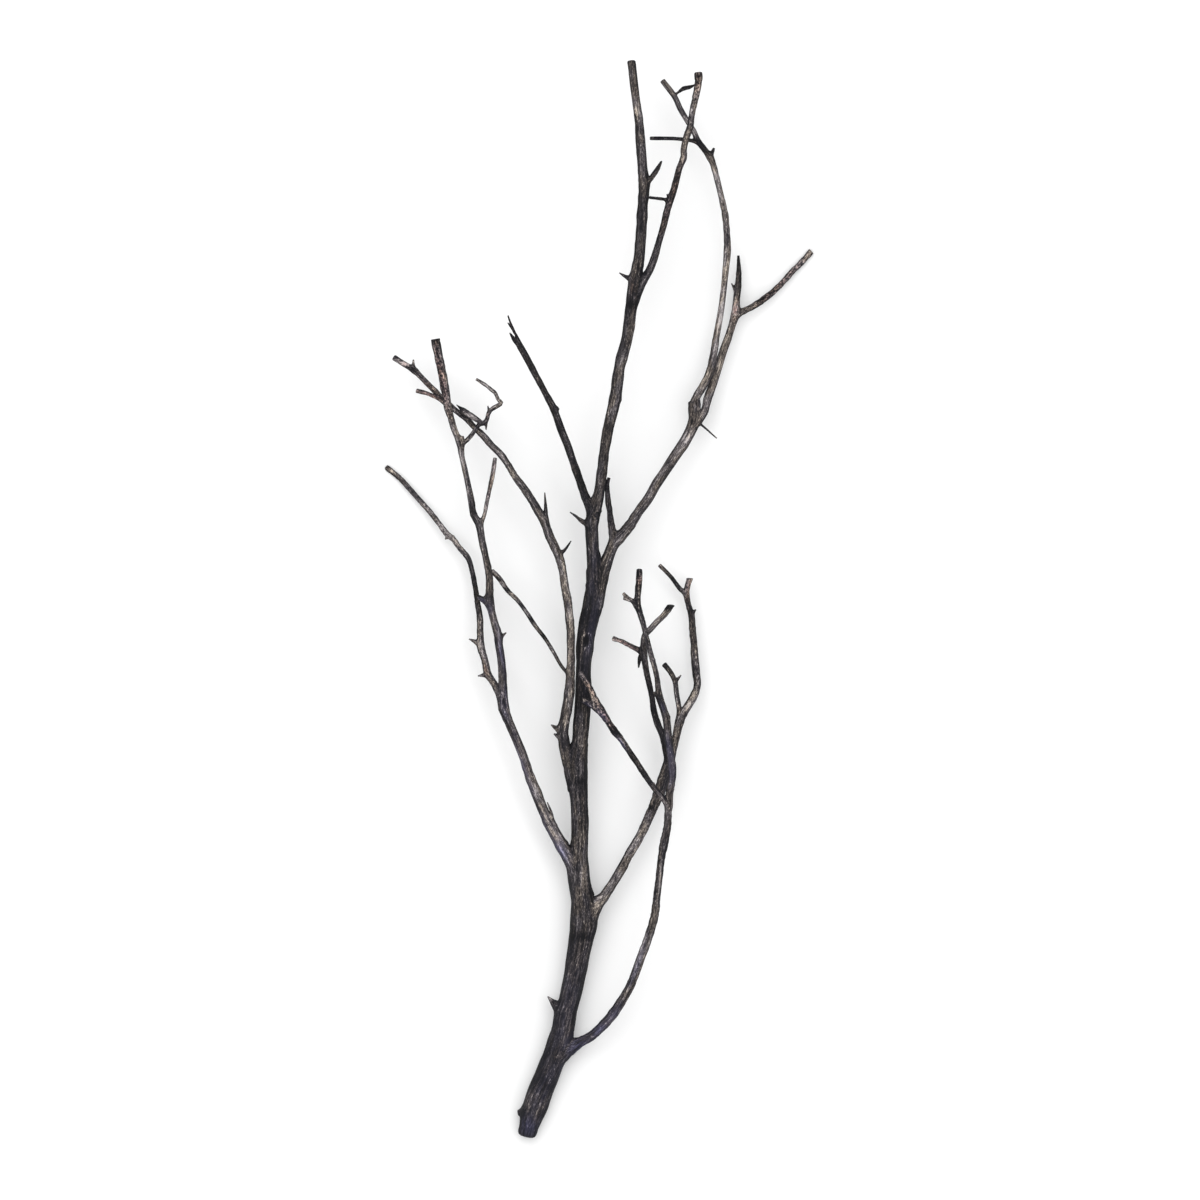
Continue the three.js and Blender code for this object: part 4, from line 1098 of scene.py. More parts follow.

# %% [markdown]
# ## Painted top light and flank shade, smooth and rough bark
#
# The side that faces up is painted lighter, and the flanks and the underside are painted darker:
# this is painted light and shade, so the tone also depends on which way the skin faces. Lamps
# alone would darken the flanks too, but only for one place of the camera. Old limbs have smooth
# bark with fine threads in it, and each is told here how smooth it is.

# %% Tone with painted light and shade, and smoothness of every vertex
SLEEK = {
    # How smooth the bark is, from 0 to 1. A limb that isn't named is rough.
    "whip": 1.0, "spiky branch": 1.0, "thick limb": 0.8, "upper limb": 0.9, "middle limb": 0.8,
    "low twig": 0.6, "dark rear stem": 0.8, "rear limb": 0.8, "front limb": 0.7, "stem": 0.65,
}
# Painted light and shade: the side that faces up is made paler and every side darker, so the flanks and
# the underside end up dark.
PAINTED_TOP_LIGHT = 0.66             # how much the side that faced the sky gains
PAINTED_FLANK_SHADE = 0.55                # how much all sides lose
TOP_LIGHT_FROM = (-0.05, 1)  # upward parts of the skin's direction, for none and for all of it
down = SHEET_MIDDLE_DOWN - points[:, 1]
names = list(limbs)


def tones_of(name):
    """The limb's own list, or its parent's."""
    while name not in TONES:
        name = limbs[name]["parent"]
    return TONES[name]


tone = np.zeros(len(points))
for row, name in enumerate(names):
    tone += shares[row] * np.interp(down, *zip(*tones_of(name)))
facing_up = (shares * upward).sum(axis=0)
sleek = sum(shares[row] * SLEEK.get(name, 0.0) for row, name in enumerate(names))
# Painted light on the side that faces up, and painted shade on the flanks and the underside.
tone += PAINTED_TOP_LIGHT * between(facing_up, *TOP_LIGHT_FROM) - PAINTED_FLANK_SHADE
print(f"tones run from {tone.min():.2f} to {tone.max():.2f}")

# %% [markdown]
# ## Marks: wear, painted sheen and painted shade
#
# Bare chips, a violet sheen, black hollows and oval scars sit at places of their own. The violet
# sheen is a painted reflection of the pale light, some bare marks are painted highlights in it,
# and the black of the hollows is painted shade. Each mark is a soft patch on the side of the limb
# that faces up, given by the limb, its place on the sheet, its half length along the limb, its
# half width, and its strength. Painting them by hand would need an image. This way they stay
# sharp at any distance.

# %% Marks
MARKS = {
    # Limb, across, down, half length, half width, strength.
    # Bare wood, and painted highlights on the roots of the front limb and the middle limb.
    "bare": [
        ("upper limb", 404, 362.5, 5, 1.8, 0.8), ("kinked twig", 495, 406.6, 4, 1.6, 0.7),
        ("stem", 636.6, 113, 7.5, 1.2, 0.9), ("stem", 642, 155, 6, 1.2, 0.5),
        ("stem", 638.4, 145, 2, 1, 0.9), ("spiky branch", 735.6, 309, 10, 3, 1.0),
        ("right twig", 738, 312, 4, 3, 1.0), ("thick limb", 687.5, 438, 8, 1.6, 0.7),
        ("upper limb", 562.5, 563, 16, 1.7, 0.5), ("upper limb", 570.6, 622, 22, 1.6, 0.4),
        ("stem", 614.5, 385, 15, 1.3, 0.45), ("low twig", 391.6, 469.6, 1.8, 1.6, 1.0),
        ("rear limb", 688.5, 704.5, 5, 2.2, 0.8), ("broken stub", 584, 699, 3, 2, 0.8),
        ("stem", 601, 906, 4, 2, 0.2), ("whip", 727, 225, 25, 1.4, 0.35),
        ("whip", 724, 290, 25, 1.4, 0.4), ("front limb", 638.8, 578.8, 1.4, 2.6, 0.7),
        ("front limb", 639.4, 572.6, 1.2, 0.9, 0.7), ("low twig", 452, 541, 8, 1.5, 0.35),
        # Painted highlights in the violet sheen: the marks near 1036 to 1042 down on the front limb and
        # near 832 to 848 down on the middle limb.
        ("front limb", 593, 1036, 7, 1.2, 0.45), ("front limb", 586.4, 1042, 7, 1.3, 0.85),
        ("front limb", 595, 1035.6, 6, 1.1, 0.6), ("middle limb", 552, 832, 8, 1.3, 0.6),
        ("middle limb", 561, 848, 9, 1.4, 0.65), ("front limb", 640.5, 577, 5, 1.0, 0.8),
        ("rear limb", 696, 655, 25, 1.3, 0.5), ("rear limb", 693.5, 625, 12, 1.0, 0.45),
    ],
    # Painted reflection: the violet sheen stands for the pale light reflected by the smooth bark.
    "violet_sheen": [
        ("middle limb", 523, 766, 30, 4.2, 1.0), ("middle limb", 545, 827, 26, 4.6, 1.0),
        ("middle limb", 560, 850, 14, 6, 1.0), ("middle limb", 504.5, 700, 16, 4.5, 1.0),
        ("middle limb", 500.5, 652, 24, 4, 0.8), ("middle limb", 489, 605, 9, 3.5, 0.7),
        ("stub opposite", 484, 600, 5, 3, 0.9), ("stem", 566, 850, 18, 3.5, 0.8),
        ("front limb", 613, 1014, 16, 6, 0.9), ("front limb", 637, 965, 30, 3, 0.45),
        ("rear limb", 672, 775, 20, 3.5, 0.8), ("stem", 568, 1052, 24, 14, 1.0),
        ("stem", 566, 1010, 60, 14, 0.35), ("stem", 529, 1126, 12, 12, 0.9),
        ("stem", 541, 1093, 22, 12, 0.4), ("front limb", 580, 1046, 18, 10, 1.0),
        ("front limb", 600, 1029, 14, 6, 1.0), ("knotted twig", 621.6, 742, 8, 2.2, 1.0),
        ("broken stub", 590, 707, 8, 6, 1.0), ("knotted twig", 601, 714, 9, 5, 0.9),
        ("stem", 592, 630, 44, 6, 0.5), ("front limb", 670, 760, 28, 5, 0.8),
        ("front limb", 663, 706, 6, 2.4, 0.6), ("stem", 594, 580, 40, 6, 0.35),
        ("stem", 548, 1072, 30, 12, 0.35),
    ],
    # Painted shade: pits, cracks and crotches, pressed in below and blackened.
    "hollow_shade": [
        ("middle limb", 504.5, 701.5, 7, 1.1, 1.0), ("stem", 543, 1097, 3, 2.2, 0.8),
        ("right twig", 763.6, 296.6, 4.6, 2.2, 1), ("right twig", 771, 291.4, 2.6, 1.8, 1),
        ("spiky branch", 740.4, 280, 8, 1.0, 0.5), ("thick limb", 690.5, 404, 6, 3.5, 0.8),
        ("knotted twig", 616.4, 730, 4, 2.2, 0.9), ("sharp arm", 458.6, 405.5, 4, 3, 0.8),
        ("knotted twig", 597, 704, 2.2, 1.0, 0.9), ("broken stub", 586, 701.5, 2.0, 1.0, 0.9),
        ("knotted twig", 612, 717, 2.4, 1.0, 0.8), ("front limb", 653, 790, 8, 2, 0.5),
        ("rear limb", 650.7, 807, 1.6, 6, 0.9), ("stem", 630, 304, 3.2, 6, 0.8),
        ("stem", 630, 318, 1.0, 6, 0.6), ("stem", 629, 325, 0.9, 6, 0.5),
        ("upright limb", 694, 100, 0.9, 3.5, 0.7), ("middle limb", 446, 392, 3, 2, 0.7),
        ("middle limb", 437, 352, 2, 1.6, 0.7), ("stem", 578, 781, 2.5, 9, 0.5),
        ("stem", 583, 936, 3, 9, 0.5),
    ],
    "red": [
        ("spiky branch", 735.6, 309, 9, 3, 1.0), ("upright limb", 686, 165, 30, 5, 0.5),
        ("upright limb", 672, 200, 40, 5, 0.6), ("side twig", 430, 394, 16, 4, 0.8),
        ("upper limb", 404, 362.5, 6, 4, 0.4), ("middle limb", 441, 375, 36, 4, 0.8),
        ("right twig", 780, 282, 32, 4, 0.6), ("knotted twig", 606, 715, 22, 4, 0.6),
        ("knotted twig", 590, 686, 12, 3, 0.5), ("upright limb", 698, 84, 14, 4, 0.4),
        ("rear limb", 689, 590, 14, 4, 0.6), ("front side twig", 620, 641, 12, 3, 0.6),
        ("front limb", 638.9, 579, 5, 3.4, 1.0), ("dark side twig", 628, 644, 14, 3, 0.9),
        ("low twig", 486, 670, 8, 3, 0.6), ("stem", 632, 288, 10, 5, 0.4),
        ("front limb", 656, 755, 22, 2, 0.2), ("kinked twig", 486, 414, 4, 3, 0.6),
        ("straight twig", 492, 480, 22, 3, 0.3), ("upper limb", 428, 384, 12, 4, 0.4),
    ],
}
print("marks:", {kind: len(list_of_marks) for kind, list_of_marks in MARKS.items()})

# %% [markdown]
# ## Laying the marks on the skin
#
# A mark is laid on the top of its limb: the nearest station gives the height. It fades along
# and across the limb, and counts only for the skin that belongs to that limb, so it never
# shows on a limb that passes behind. Where two marks of a kind meet, the stronger one counts.

# %% Strength of the marks at every vertex
marks = {kind: np.zeros(len(points)) for kind in MARKS}


def place_mark(name, across, at_down, half_length, half_width, strength):
    """How strongly one mark shows at each vertex."""
    line = limbs[name]["line"]
    target = from_sheet(across, at_down, 0)
    station = np.linalg.norm(line["middle"][:, :2] - target[:2], axis=1).argmin()
    offset = np.linalg.norm(line["middle"][station, :2] - target[:2])
    radius = line["radius"][station]
    target[2] = line["middle"][station, 2] + max(radius**2 - offset**2, 0) ** 0.5
    apart = points - target
    ahead = apart @ line["along"][station]
    beside = np.linalg.norm(apart - ahead[:, None] * line["along"][station], axis=1)
    on_limb = shares[names.index(name)]
    return strength * on_limb * np.exp(-((ahead / half_length) ** 2) - (beside / half_width) ** 2)


for kind, list_of_marks in MARKS.items():
    for mark in list_of_marks:
        marks[kind] = np.maximum(marks[kind], place_mark(*mark))
print("vertices with marks:", {kind: int((marks[kind] > 0.3).sum()) for kind in marks})

# %% [markdown]
# ## Carving
#
# Colour alone doesn't make a scar. The hollows are pressed in and blackened with painted shade,
# and five healed scars get a raised lip round a sunken middle. No violet sheen is painted in that
# middle, which gets painted shade and stays black. Sculpting would do it too, but here each scar
# is one line of numbers.

# %% Press in the hollows and raise the lips
HOLLOW_DEPTH = 0.9   # millimetres
LIP_HEIGHT = 0.55    # share of the scar's depth
LIP_WIDTH = 0.3      # share of the scar's size
BOWL = (0.5, 0.95)   # where the sunken middle starts to rise, and where it ends
SCARS = [
    # Limb, across, down, half length, half width, depth in millimetres.
    ("stem", 586.5, 640, 8, 4.6, 0.9),
    ("knotted twig", 608, 722, 3, 1.5, 0.7),
    ("right twig", 763.4, 296.6, 4, 2.2, 0.9),
    ("knotted twig", 603, 712, 2.5, 1.3, 0.7),
    ("middle limb", 504.5, 701.5, 10, 2.3, 0.6),
]
bark_mesh.vertices.foreach_set("co", (points * MM).ravel())
bark_mesh.update()
outward = numbers(bark_mesh.vertices, "normal", 3)
lip = np.zeros(len(points))
sunken = np.zeros(len(points))
for name, across, at_down, half_length, half_width, depth in SCARS:
    reach = np.clip(place_mark(name, across, at_down, half_length, half_width, 1.0), 1e-6, 1)
    outline = np.sqrt(-np.log(reach))
    rim = np.exp(-(((outline - 1.0) / LIP_WIDTH) ** 2))
    bowl = 1 - between(outline, *BOWL)
    on_limb = shares[names.index(name)]
    lip = np.maximum(lip, rim * on_limb)
    sunken = np.maximum(sunken, bowl * on_limb)
    points += outward * ((LIP_HEIGHT * rim - bowl) * depth * on_limb)[:, None]
points -= outward * (HOLLOW_DEPTH * marks["hollow_shade"])[:, None]
marks["violet_sheen"] *= 1 - sunken
points[:, 2] = np.maximum(points[:, 2], 0.0)
print(f"carved {int((marks['hollow_shade'] > 0.3).sum())} vertices in and raised {int((lip > 0.5).sum())}")

# %% [markdown]
# ## The finished mesh
#
# The moved vertices go back into the mesh, and each value is stored under a name that the
# material can read. An image could carry the values too, but it would need the branch
# unwrapped, and it would blur close up.

# %% Store the shape and the values
FULLY_SCALY = 0.35   # millimetres of scales that count as fully rough
NO_LONGER_SLEEK = 0.2
# Painted shade in the sunken middle of a scar.
SCAR_PAINTED_SHADE = 0.7
bark_mesh.vertices.foreach_set("co", (points * MM).ravel())
bark_mesh.update()
bark_mesh.polygons.foreach_set("use_smooth", np.ones(len(bark_mesh.polygons), bool))
scaly = np.zeros(len(points))
for row, limb in enumerate(limbs.values()):
    scaly += shares[row] * np.interp(places[row], limb["line"]["reached"], limb["line"]["scaly"])
values = {
    "tone": tone,
    "bare": marks["bare"],
    "violet_sheen": marks["violet_sheen"],
    "red": marks["red"],
    "hollow_shade": np.maximum(marks["hollow_shade"], SCAR_PAINTED_SHADE * sunken),
    "lip": lip,
    "scaly": np.clip(scaly / FULLY_SCALY, 0, 1),
    "sleek": sleek * (1 - np.clip(scaly / NO_LONGER_SLEEK, 0, 1)),
}
for name, amounts in values.items():
    layer = bark_mesh.attributes.new(name, "FLOAT", "POINT")
    layer.data.foreach_set("value", amounts.astype(np.float32))
print("values stored on the mesh:", ", ".join(values))

# %% [markdown]
# ## The direction of the grain
#
# The grain is a place in millimetres: two numbers round the limb and one along it. Noise that
# is read at that place can be stretched along the limb. The grain is stored on the corners of
# the faces, so that a face at a seam takes it whole from one limb.

# %% Store the grain
GRAIN_SHIFT = 131.0  # millimetres from one limb's grain to the next limb's
corner_vertex = numbers(bark_mesh.loops, "vertex_index", 1, np.int32)
corners_of_face = numbers(bark_mesh.polygons, "loop_total", 1, np.int32)
face_of_corner = np.repeat(np.arange(len(corners_of_face)), corners_of_face)
face_gaps = np.zeros((len(limbs), len(corners_of_face)))
for row in range(len(limbs)):
    face_gaps[row] = np.bincount(face_of_corner, gaps[row][corner_vertex], len(corners_of_face))
owner = face_gaps.argmin(axis=0)[face_of_corner]
grain = np.zeros((len(corner_vertex), 3))
for row, limb in enumerate(limbs.values()):
    mine = np.flatnonzero(owner == row)
    if len(mine):
        _, reached, angle, radius, _ = near(limb, points[corner_vertex[mine]])
        grain[mine, 0] = radius * np.cos(angle)
        grain[mine, 1] = radius * np.sin(angle)
        grain[mine, 2] = reached + GRAIN_SHIFT * limb["seed"]
layer = bark_mesh.attributes.new("grain", "FLOAT_VECTOR", "CORNER")
layer.data.foreach_set("vector", grain.astype(np.float32).ravel())
branch = bpy.data.objects.new("octopus_branch", bark_mesh)
bpy.context.scene.collection.objects.link(branch)
bark_mesh.calc_loop_triangles()
print("triangles:", len(bark_mesh.loop_triangles))

# %% [markdown]
# ## The bark's finish
#
# Close up the bark is a web of short dark and light dashes that follow the limb, with longer
# streaks, broad patches, and a few pale flecks where it has worn through. Each layer is noise
# that is squeezed across the grain. Stretched wood photographs would look the same from one
# side only. The layers are added to the limb's tone, and one colour ramp turns the sum into
# wood colours, from black to pale.

# %% Helpers for the material
bark = bpy.data.materials.new("dry_bark")
bark.use_nodes = True
nodes = bark.node_tree.nodes
links = bark.node_tree.links
nodes.clear()
# A mix node has inputs for each kind of data. These are the places of its colours.
FIRST_COLOUR, SECOND_COLOUR, MIXED_COLOUR = 6, 7, 2


def node(kind, **settings):
    """A new node with its settings."""
    made = nodes.new(kind)
    for name, value in settings.items():
        setattr(made, name, value)
    return made


def feed(socket, source):
    """Links a socket, or sets a number on it."""
    if isinstance(source, bpy.types.NodeSocket):
        links.new(source, socket)
    else:
        socket.default_value = source


def calculate(operation, first, second=0.0, third=0.0, clamp=False):
    """One step of arithmetic."""
    step = node("ShaderNodeMath", operation=operation, use_clamp=clamp)
    for socket, source in zip(step.inputs, (first, second, third)):
        feed(socket, source)
    return step.outputs[0]


def stored(name):
    """A value stored on the mesh."""
    return node("ShaderNodeAttribute", attribute_name=name).outputs["Fac"]


def ramp(value, low, high):
    """0 below low, 1 above high."""
    step = node("ShaderNodeMapRange", interpolation_type="SMOOTHSTEP")
    for name, source in (("Value", value), ("From Min", low), ("From Max", high)):
        feed(step.inputs[name], source)
    return step.outputs["Result"]


grain_place = node("ShaderNodeAttribute", attribute_name="grain").outputs["Vector"]


def grain_noise(across_size, along_size, detail=2.0, roughness=0.55, shift=0.0):
    """Noise squeezed across the grain. The sizes are in millimetres."""
    mapping = node("ShaderNodeMapping")
    feed(mapping.inputs["Vector"], grain_place)
    mapping.inputs["Location"].default_value = (shift, shift, shift)
    mapping.inputs["Scale"].default_value = (1 / across_size, 1 / across_size, 1 / along_size)
    noise = node("ShaderNodeTexNoise")
    feed(noise.inputs["Vector"], mapping.outputs["Vector"])
    noise.inputs["Scale"].default_value = 1.0
    noise.inputs["Detail"].default_value = detail
    noise.inputs["Roughness"].default_value = roughness
    return noise.outputs["Fac"]


def mix(amount, first, second, blend="MIX"):
    """Two colours mixed."""
    step = node("ShaderNodeMix", data_type="RGBA", blend_type=blend)
    feed(step.inputs["Factor"], amount)
    feed(step.inputs[FIRST_COLOUR], first)
    feed(step.inputs[SECOND_COLOUR], second)
    return step.outputs[MIXED_COLOUR]


print("helpers for the material are ready")

# %% [markdown]
# ## The layers of noise
#
# Each layer is noise with its own size across and along the limb. One noise alone would look
# like sand or like stripes. Together they give dashes between threads, as on the real bark.

# %% Layers of noise
# Size across the limb, size along it, detail, roughness, and a shift that sets layers apart.
dashes = grain_noise(0.8, 2.5, 3.0, 0.65)
threads = grain_noise(0.45, 9.0, 2.0, 0.6, 7.0)
streaks = grain_noise(2.4, 42.0, 2.0, 0.5, 13.0)
patches = grain_noise(11.0, 17.0, 2.0, 0.5, 29.0)
worn = grain_noise(1.3, 3.4, 2.0, 0.6, 41.0)
crumbs = grain_noise(1.7, 2.3, 3.0, 0.7, 53.0)
tints = grain_noise(7.0, 24.0, 1.0, 0.5, 67.0)
print("nodes so far:", len(nodes))

# %% [markdown]
# ## The tone of the bark
#
# The tone is summed up before any colour comes in. The dashes carry most of the contrast,
# because that is what the eye reads as bark at arm's length. They are weaker on smooth bark
# and under the painted violet sheen. Worn flecks, bare chips, painted highlights and the lips of
# the scars make it paler, and painted shade makes the hollows black.

# %% Tone of the bark
DASHES = 1.95             # strengths of the layers in the tone
DASHES_UNDER_SHEEN = -0.8
DASHES_ON_SLEEK = -0.9
THREADS = 1.1
THREADS_ON_SLEEK = 0.7
STREAKS = 1.0
PATCHES = 0.6
CRUMBS_ON_SCALES = 2.2
FLECKS = 0.3
CHIPS_AND_HIGHLIGHTS = 0.34
RAGGED_PALE_MARKS = 1.1        # how much the dashes break up the edge of a chip
LIPS = 0.55
HOLLOW_PAINTED_SHADE = -0.6
FLECK_EDGE = (0.6, 0.7)   # where each of them starts to show, and where it shows in full
PALE_MARK_EDGE = (0.3, 0.6)
LIP_EDGE = (0.42, 0.6)


def add_layer(total, layer, strength):
    """Adds a layer of noise that swings round nought."""
    return calculate("MULTIPLY_ADD", calculate("SUBTRACT", layer, 0.5), strength, total)


sleek_here = stored("sleek")
# The dashes are weaker under the painted violet sheen.
dash_strength = calculate("MULTIPLY_ADD", stored("violet_sheen"), DASHES_UNDER_SHEEN, DASHES)
dash_strength = calculate("MULTIPLY_ADD", sleek_here, DASHES_ON_SLEEK, dash_strength)
thread_strength = calculate("MULTIPLY_ADD", sleek_here, THREADS_ON_SLEEK, THREADS)
scaly_here = stored("scaly")
total_tone = add_layer(stored("tone"), dashes, dash_strength)
total_tone = add_layer(total_tone, threads, thread_strength)
total_tone = add_layer(total_tone, streaks, STREAKS)
total_tone = add_layer(total_tone, patches, PATCHES)
total_tone = add_layer(total_tone, crumbs, calculate("MULTIPLY", scaly_here, CRUMBS_ON_SCALES))
fleck = calculate("MULTIPLY", ramp(worn, *FLECK_EDGE), FLECKS)
total_tone = calculate("ADD", total_tone, fleck)
ragged = calculate("MULTIPLY", calculate("SUBTRACT", dashes, 0.5), RAGGED_PALE_MARKS)
# Bare chips and painted highlights make the bark paler.
bare_here = ramp(calculate("ADD", stored("bare"), ragged), *PALE_MARK_EDGE)
total_tone = calculate("MULTIPLY_ADD", bare_here, CHIPS_AND_HIGHLIGHTS, total_tone)
lip_here = calculate("MULTIPLY", stored("lip"), ramp(worn, *LIP_EDGE))
total_tone = calculate("MULTIPLY_ADD", lip_here, LIPS, total_tone)
# Painted shade blackens the hollows.
total_tone = calculate("MULTIPLY_ADD", stored("hollow_shade"), HOLLOW_PAINTED_SHADE, total_tone, clamp=True)
print("layers of tone are in place")

# %% [markdown]
# ## The colours of the bark
#
# One ramp turns the tone into wood colours, from black through grey-brown to pale wood.
# Each colour could be painted by itself, but then light and dark would drift apart where
# limbs meet. Broad tints, the red of young wood and the violet sheen, a painted reflection,
# are laid over it.

# %% Colours of the bark
STOPS = [
    # Tone, and the colour there.
    (0.0, (0.0045, 0.0045, 0.0058)),
    (0.18, (0.0125, 0.012, 0.0136)),
    (0.36, (0.035, 0.0315, 0.0315)),
    (0.54, (0.083, 0.0735, 0.07)),
    (0.72, (0.172, 0.154, 0.141)),
    (0.88, (0.328, 0.298, 0.264)),
    (1.0, (0.6, 0.55, 0.48)),
]
BLUE_TINT = (0.96, 0.96, 1.08, 1)
BROWN_TINT = (1.05, 0.99, 0.95, 1)
RED_TINT = (1.35, 0.92, 0.82, 1)
# Painted reflection: these give the violet sheen, and the bloom named below is that painted sheen.
SHEEN_COLOUR = (0.05, 0.048, 0.082, 1)
SHEEN_TINT = (0.88, 0.92, 1.28, 1)
SHEEN_COVER = 0.35        # how much of the wood the full bloom hides
TINT_EDGE = (0.4, 0.62)   # between these values of the noise one colour gives way to the other
RED_EDGE = (0.35, 0.6)
SHEEN_EDGE = (0.25, 0.5)
colours = node("ShaderNodeValToRGB")
feed(colours.inputs["Fac"], total_tone)
elements = colours.color_ramp.elements
elements[0].position, elements[0].color = STOPS[0][0], (*STOPS[0][1], 1)
elements[1].position, elements[1].color = STOPS[-1][0], (*STOPS[-1][1], 1)
for position, colour in STOPS[1:-1]:
    elements.new(position).color = (*colour, 1)
wood = colours.outputs["Color"]
tint = mix(ramp(tints, *TINT_EDGE), BLUE_TINT, BROWN_TINT)
wood = mix(1.0, wood, tint, "MULTIPLY")
red_here = calculate("MULTIPLY", stored("red"), ramp(crumbs, *RED_EDGE))
wood = mix(red_here, wood, mix(1.0, wood, RED_TINT, "MULTIPLY"))
# Painted reflection: the violet sheen is laid over the wood.
sheen_here = calculate("MULTIPLY", stored("violet_sheen"), ramp(streaks, *SHEEN_EDGE))
wood = mix(calculate("MULTIPLY", sheen_here, SHEEN_COVER), wood, SHEEN_COLOUR)
wood = mix(sheen_here, wood, mix(1.0, wood, SHEEN_TINT, "MULTIPLY"))
print("colours of the ramp:", len(STOPS))

# %% [markdown]
# ## Roughness and fine relief
#
# Dry bark is matt, with a faint polish on the black parts and under the painted violet sheen.
# The dashes, threads, streaks and crumbs are a bump of about half a millimetre. As real
# geometry they would need more mesh than all the rest of the branch.

# %% Shader
ROUGHNESS = 0.55
ROUGHER_DASHES = 0.3
SMOOTHER_UNDER_SHEEN = -0.18
REFLECTION = 0.16
DASH_RELIEF = 0.9          # strengths of the layers in the bump
THREAD_RELIEF = 0.5
STREAK_RELIEF = 0.6
CRUMB_RELIEF = 0.15
CRUMB_RELIEF_ON_SCALES = 1.6
BUMP_STRENGTH = 0.9
BUMP_HEIGHT = 0.8          # millimetres for a whole unit of the sum
shader = node("ShaderNodeBsdfPrincipled")
output = node("ShaderNodeOutputMaterial")
feed(shader.inputs["Base Color"], wood)
rough = calculate("MULTIPLY_ADD", dashes, ROUGHER_DASHES, ROUGHNESS)
# The painted violet sheen is also a little smoother.
rough = calculate("MULTIPLY_ADD", sheen_here, SMOOTHER_UNDER_SHEEN, rough, clamp=True)
feed(shader.inputs["Roughness"], rough)
shader.inputs["Specular IOR Level"].default_value = REFLECTION
crumb_relief = calculate("MULTIPLY_ADD", scaly_here, CRUMB_RELIEF_ON_SCALES, CRUMB_RELIEF)
height = calculate("MULTIPLY", dashes, DASH_RELIEF)
height = add_layer(height, threads, THREAD_RELIEF)
height = add_layer(height, streaks, STREAK_RELIEF)
height = add_layer(height, crumbs, crumb_relief)
bump = node("ShaderNodeBump")
bump.inputs["Strength"].default_value = BUMP_STRENGTH
bump.inputs["Distance"].default_value = BUMP_HEIGHT * MM
feed(bump.inputs["Height"], height)
feed(shader.inputs["Normal"], bump.outputs["Normal"])
feed(output.inputs["Surface"], shader.outputs["BSDF"])
bark_mesh.materials.clear()
bark_mesh.materials.append(bark)
print("nodes in the bark material:", len(nodes))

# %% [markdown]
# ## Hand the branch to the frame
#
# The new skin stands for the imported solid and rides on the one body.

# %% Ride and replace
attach(branch, "root")
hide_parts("branch")
print("the new skin is", [round(float(size), 4) for size in branch.dimensions], "metres")

# %% [markdown]
# ## The floor
#
# The branch lies on a pale, matt floor, so wide that no view shows its edge. A curved backdrop
# would hide the horizon, but the floor has to be plain and flat, as the branch rests on it.

# %% Floor
FLOOR_HALF = 30.0  # metres
FLOOR_COLOUR = (0.93, 0.93, 0.93, 1)
floor_mesh = bpy.data.meshes.new("floor")
floor_signs = [(-1, -1), (1, -1), (1, 1), (-1, 1)]
floor_corners = [(x * FLOOR_HALF, y * FLOOR_HALF, 0) for x, y in floor_signs]
floor_mesh.from_pydata(floor_corners, [], [(0, 1, 2, 3)])
floor = bpy.data.objects.new("floor", floor_mesh)
bpy.context.scene.collection.objects.link(floor)
paper = bpy.data.materials.new("pale_paper")
paper.use_nodes = True
paper_shader = paper.node_tree.nodes["Principled BSDF"]
paper_shader.inputs["Base Color"].default_value = FLOOR_COLOUR
paper_shader.inputs["Roughness"].default_value = 0.9
paper_shader.inputs["Specular IOR Level"].default_value = 0.1
floor_mesh.materials.append(paper)
floor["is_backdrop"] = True
print("the floor is", 2 * FLOOR_HALF, "metres wide")

# %% [markdown]
# ## The light
#
# One wide soft light from above gives the pale middles and dark edges that round dark wood
# shows. A weaker one fills from the other side, and the pale sky keeps the shadows open. A
# small hard lamp would draw sharp shadows that a studio picture doesn't have.

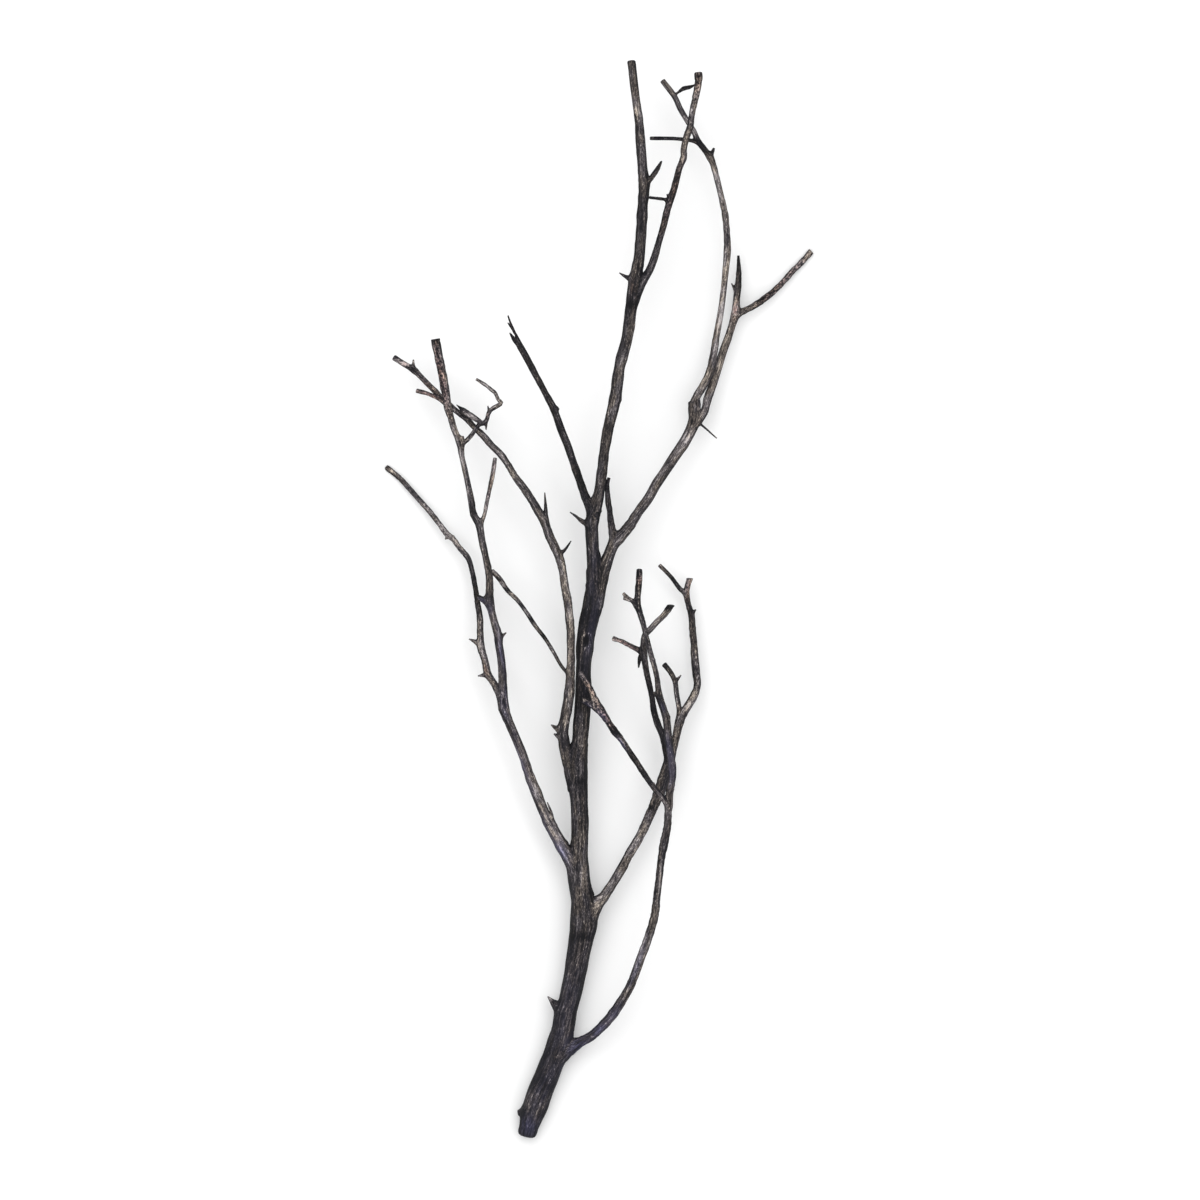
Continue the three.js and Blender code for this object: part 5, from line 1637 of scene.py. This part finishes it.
# %% Light
SKY_COLOUR = (1, 1, 1, 1)
SKY_STRENGTH = 0.75
world = bpy.data.worlds.new("pale sky")
world.use_nodes = True
sky = world.node_tree.nodes["Background"]
sky.inputs["Color"].default_value = SKY_COLOUR
sky.inputs["Strength"].default_value = SKY_STRENGTH
bpy.context.scene.world = world


def soft_light(name, place, size, power):
    """A square light that faces the branch."""
    lamp = bpy.data.lights.new(name, "AREA")
    lamp.size = size
    lamp.energy = power
    holder = bpy.data.objects.new(name, lamp)
    holder.location = place
    direction = -holder.location
    holder.rotation_euler = direction.to_track_quat("-Z", "Y").to_euler()
    bpy.context.scene.collection.objects.link(holder)


# Name, place and size in metres, and power in watts.
soft_light("key", (-0.45, 0.6, 2.8), 3.2, 48.0)
soft_light("fill", (1.2, -0.7, 2.4), 2.0, 12.0)
bpy.context.scene.view_settings.view_transform = "Standard"
print("lights are placed")

# %% [markdown]
# ## The camera
#
# It looks straight down from far away through a long lens, so that low and high limbs keep
# their places. From near by, the high limbs would look thicker and slide outwards. The length
# of the lens follows from the width that the picture has to show.

# %% Camera
FRAME_WIDTH = 1.2       # metres across the picture
CAMERA_HEIGHT = 12.0    # metres over the floor
BRANCH_HEIGHT = 0.04    # metres, the middle of the branch's depth
SENSOR = 36.0           # millimetres
PICTURE_MIDDLE = (600.2, 599.0)  # on the drawing sheet
camera_data = bpy.data.cameras.new("camera")
camera_data.sensor_width = SENSOR
camera_data.lens = SENSOR * (CAMERA_HEIGHT - BRANCH_HEIGHT) / FRAME_WIDTH
camera_data.clip_end = 100.0
camera = bpy.data.objects.new("camera", camera_data)
looked_at = from_sheet(*PICTURE_MIDDLE, 0) * MM
camera.location = (looked_at[0], looked_at[1], CAMERA_HEIGHT)
bpy.context.scene.collection.objects.link(camera)
bpy.context.scene.camera = camera
print(f"the lens is {camera_data.lens:.0f} mm")

# %% [markdown]
# ## The size
#
# The new skin must fill the same box as the imported solid. Both boxes are printed.

# %% Sizes
new_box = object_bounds()
for label, low, high in (("packed", *packed_box), ("dressed", *new_box)):
    print(label, [round(value * 1000, 1) for value in (*low, *high)])
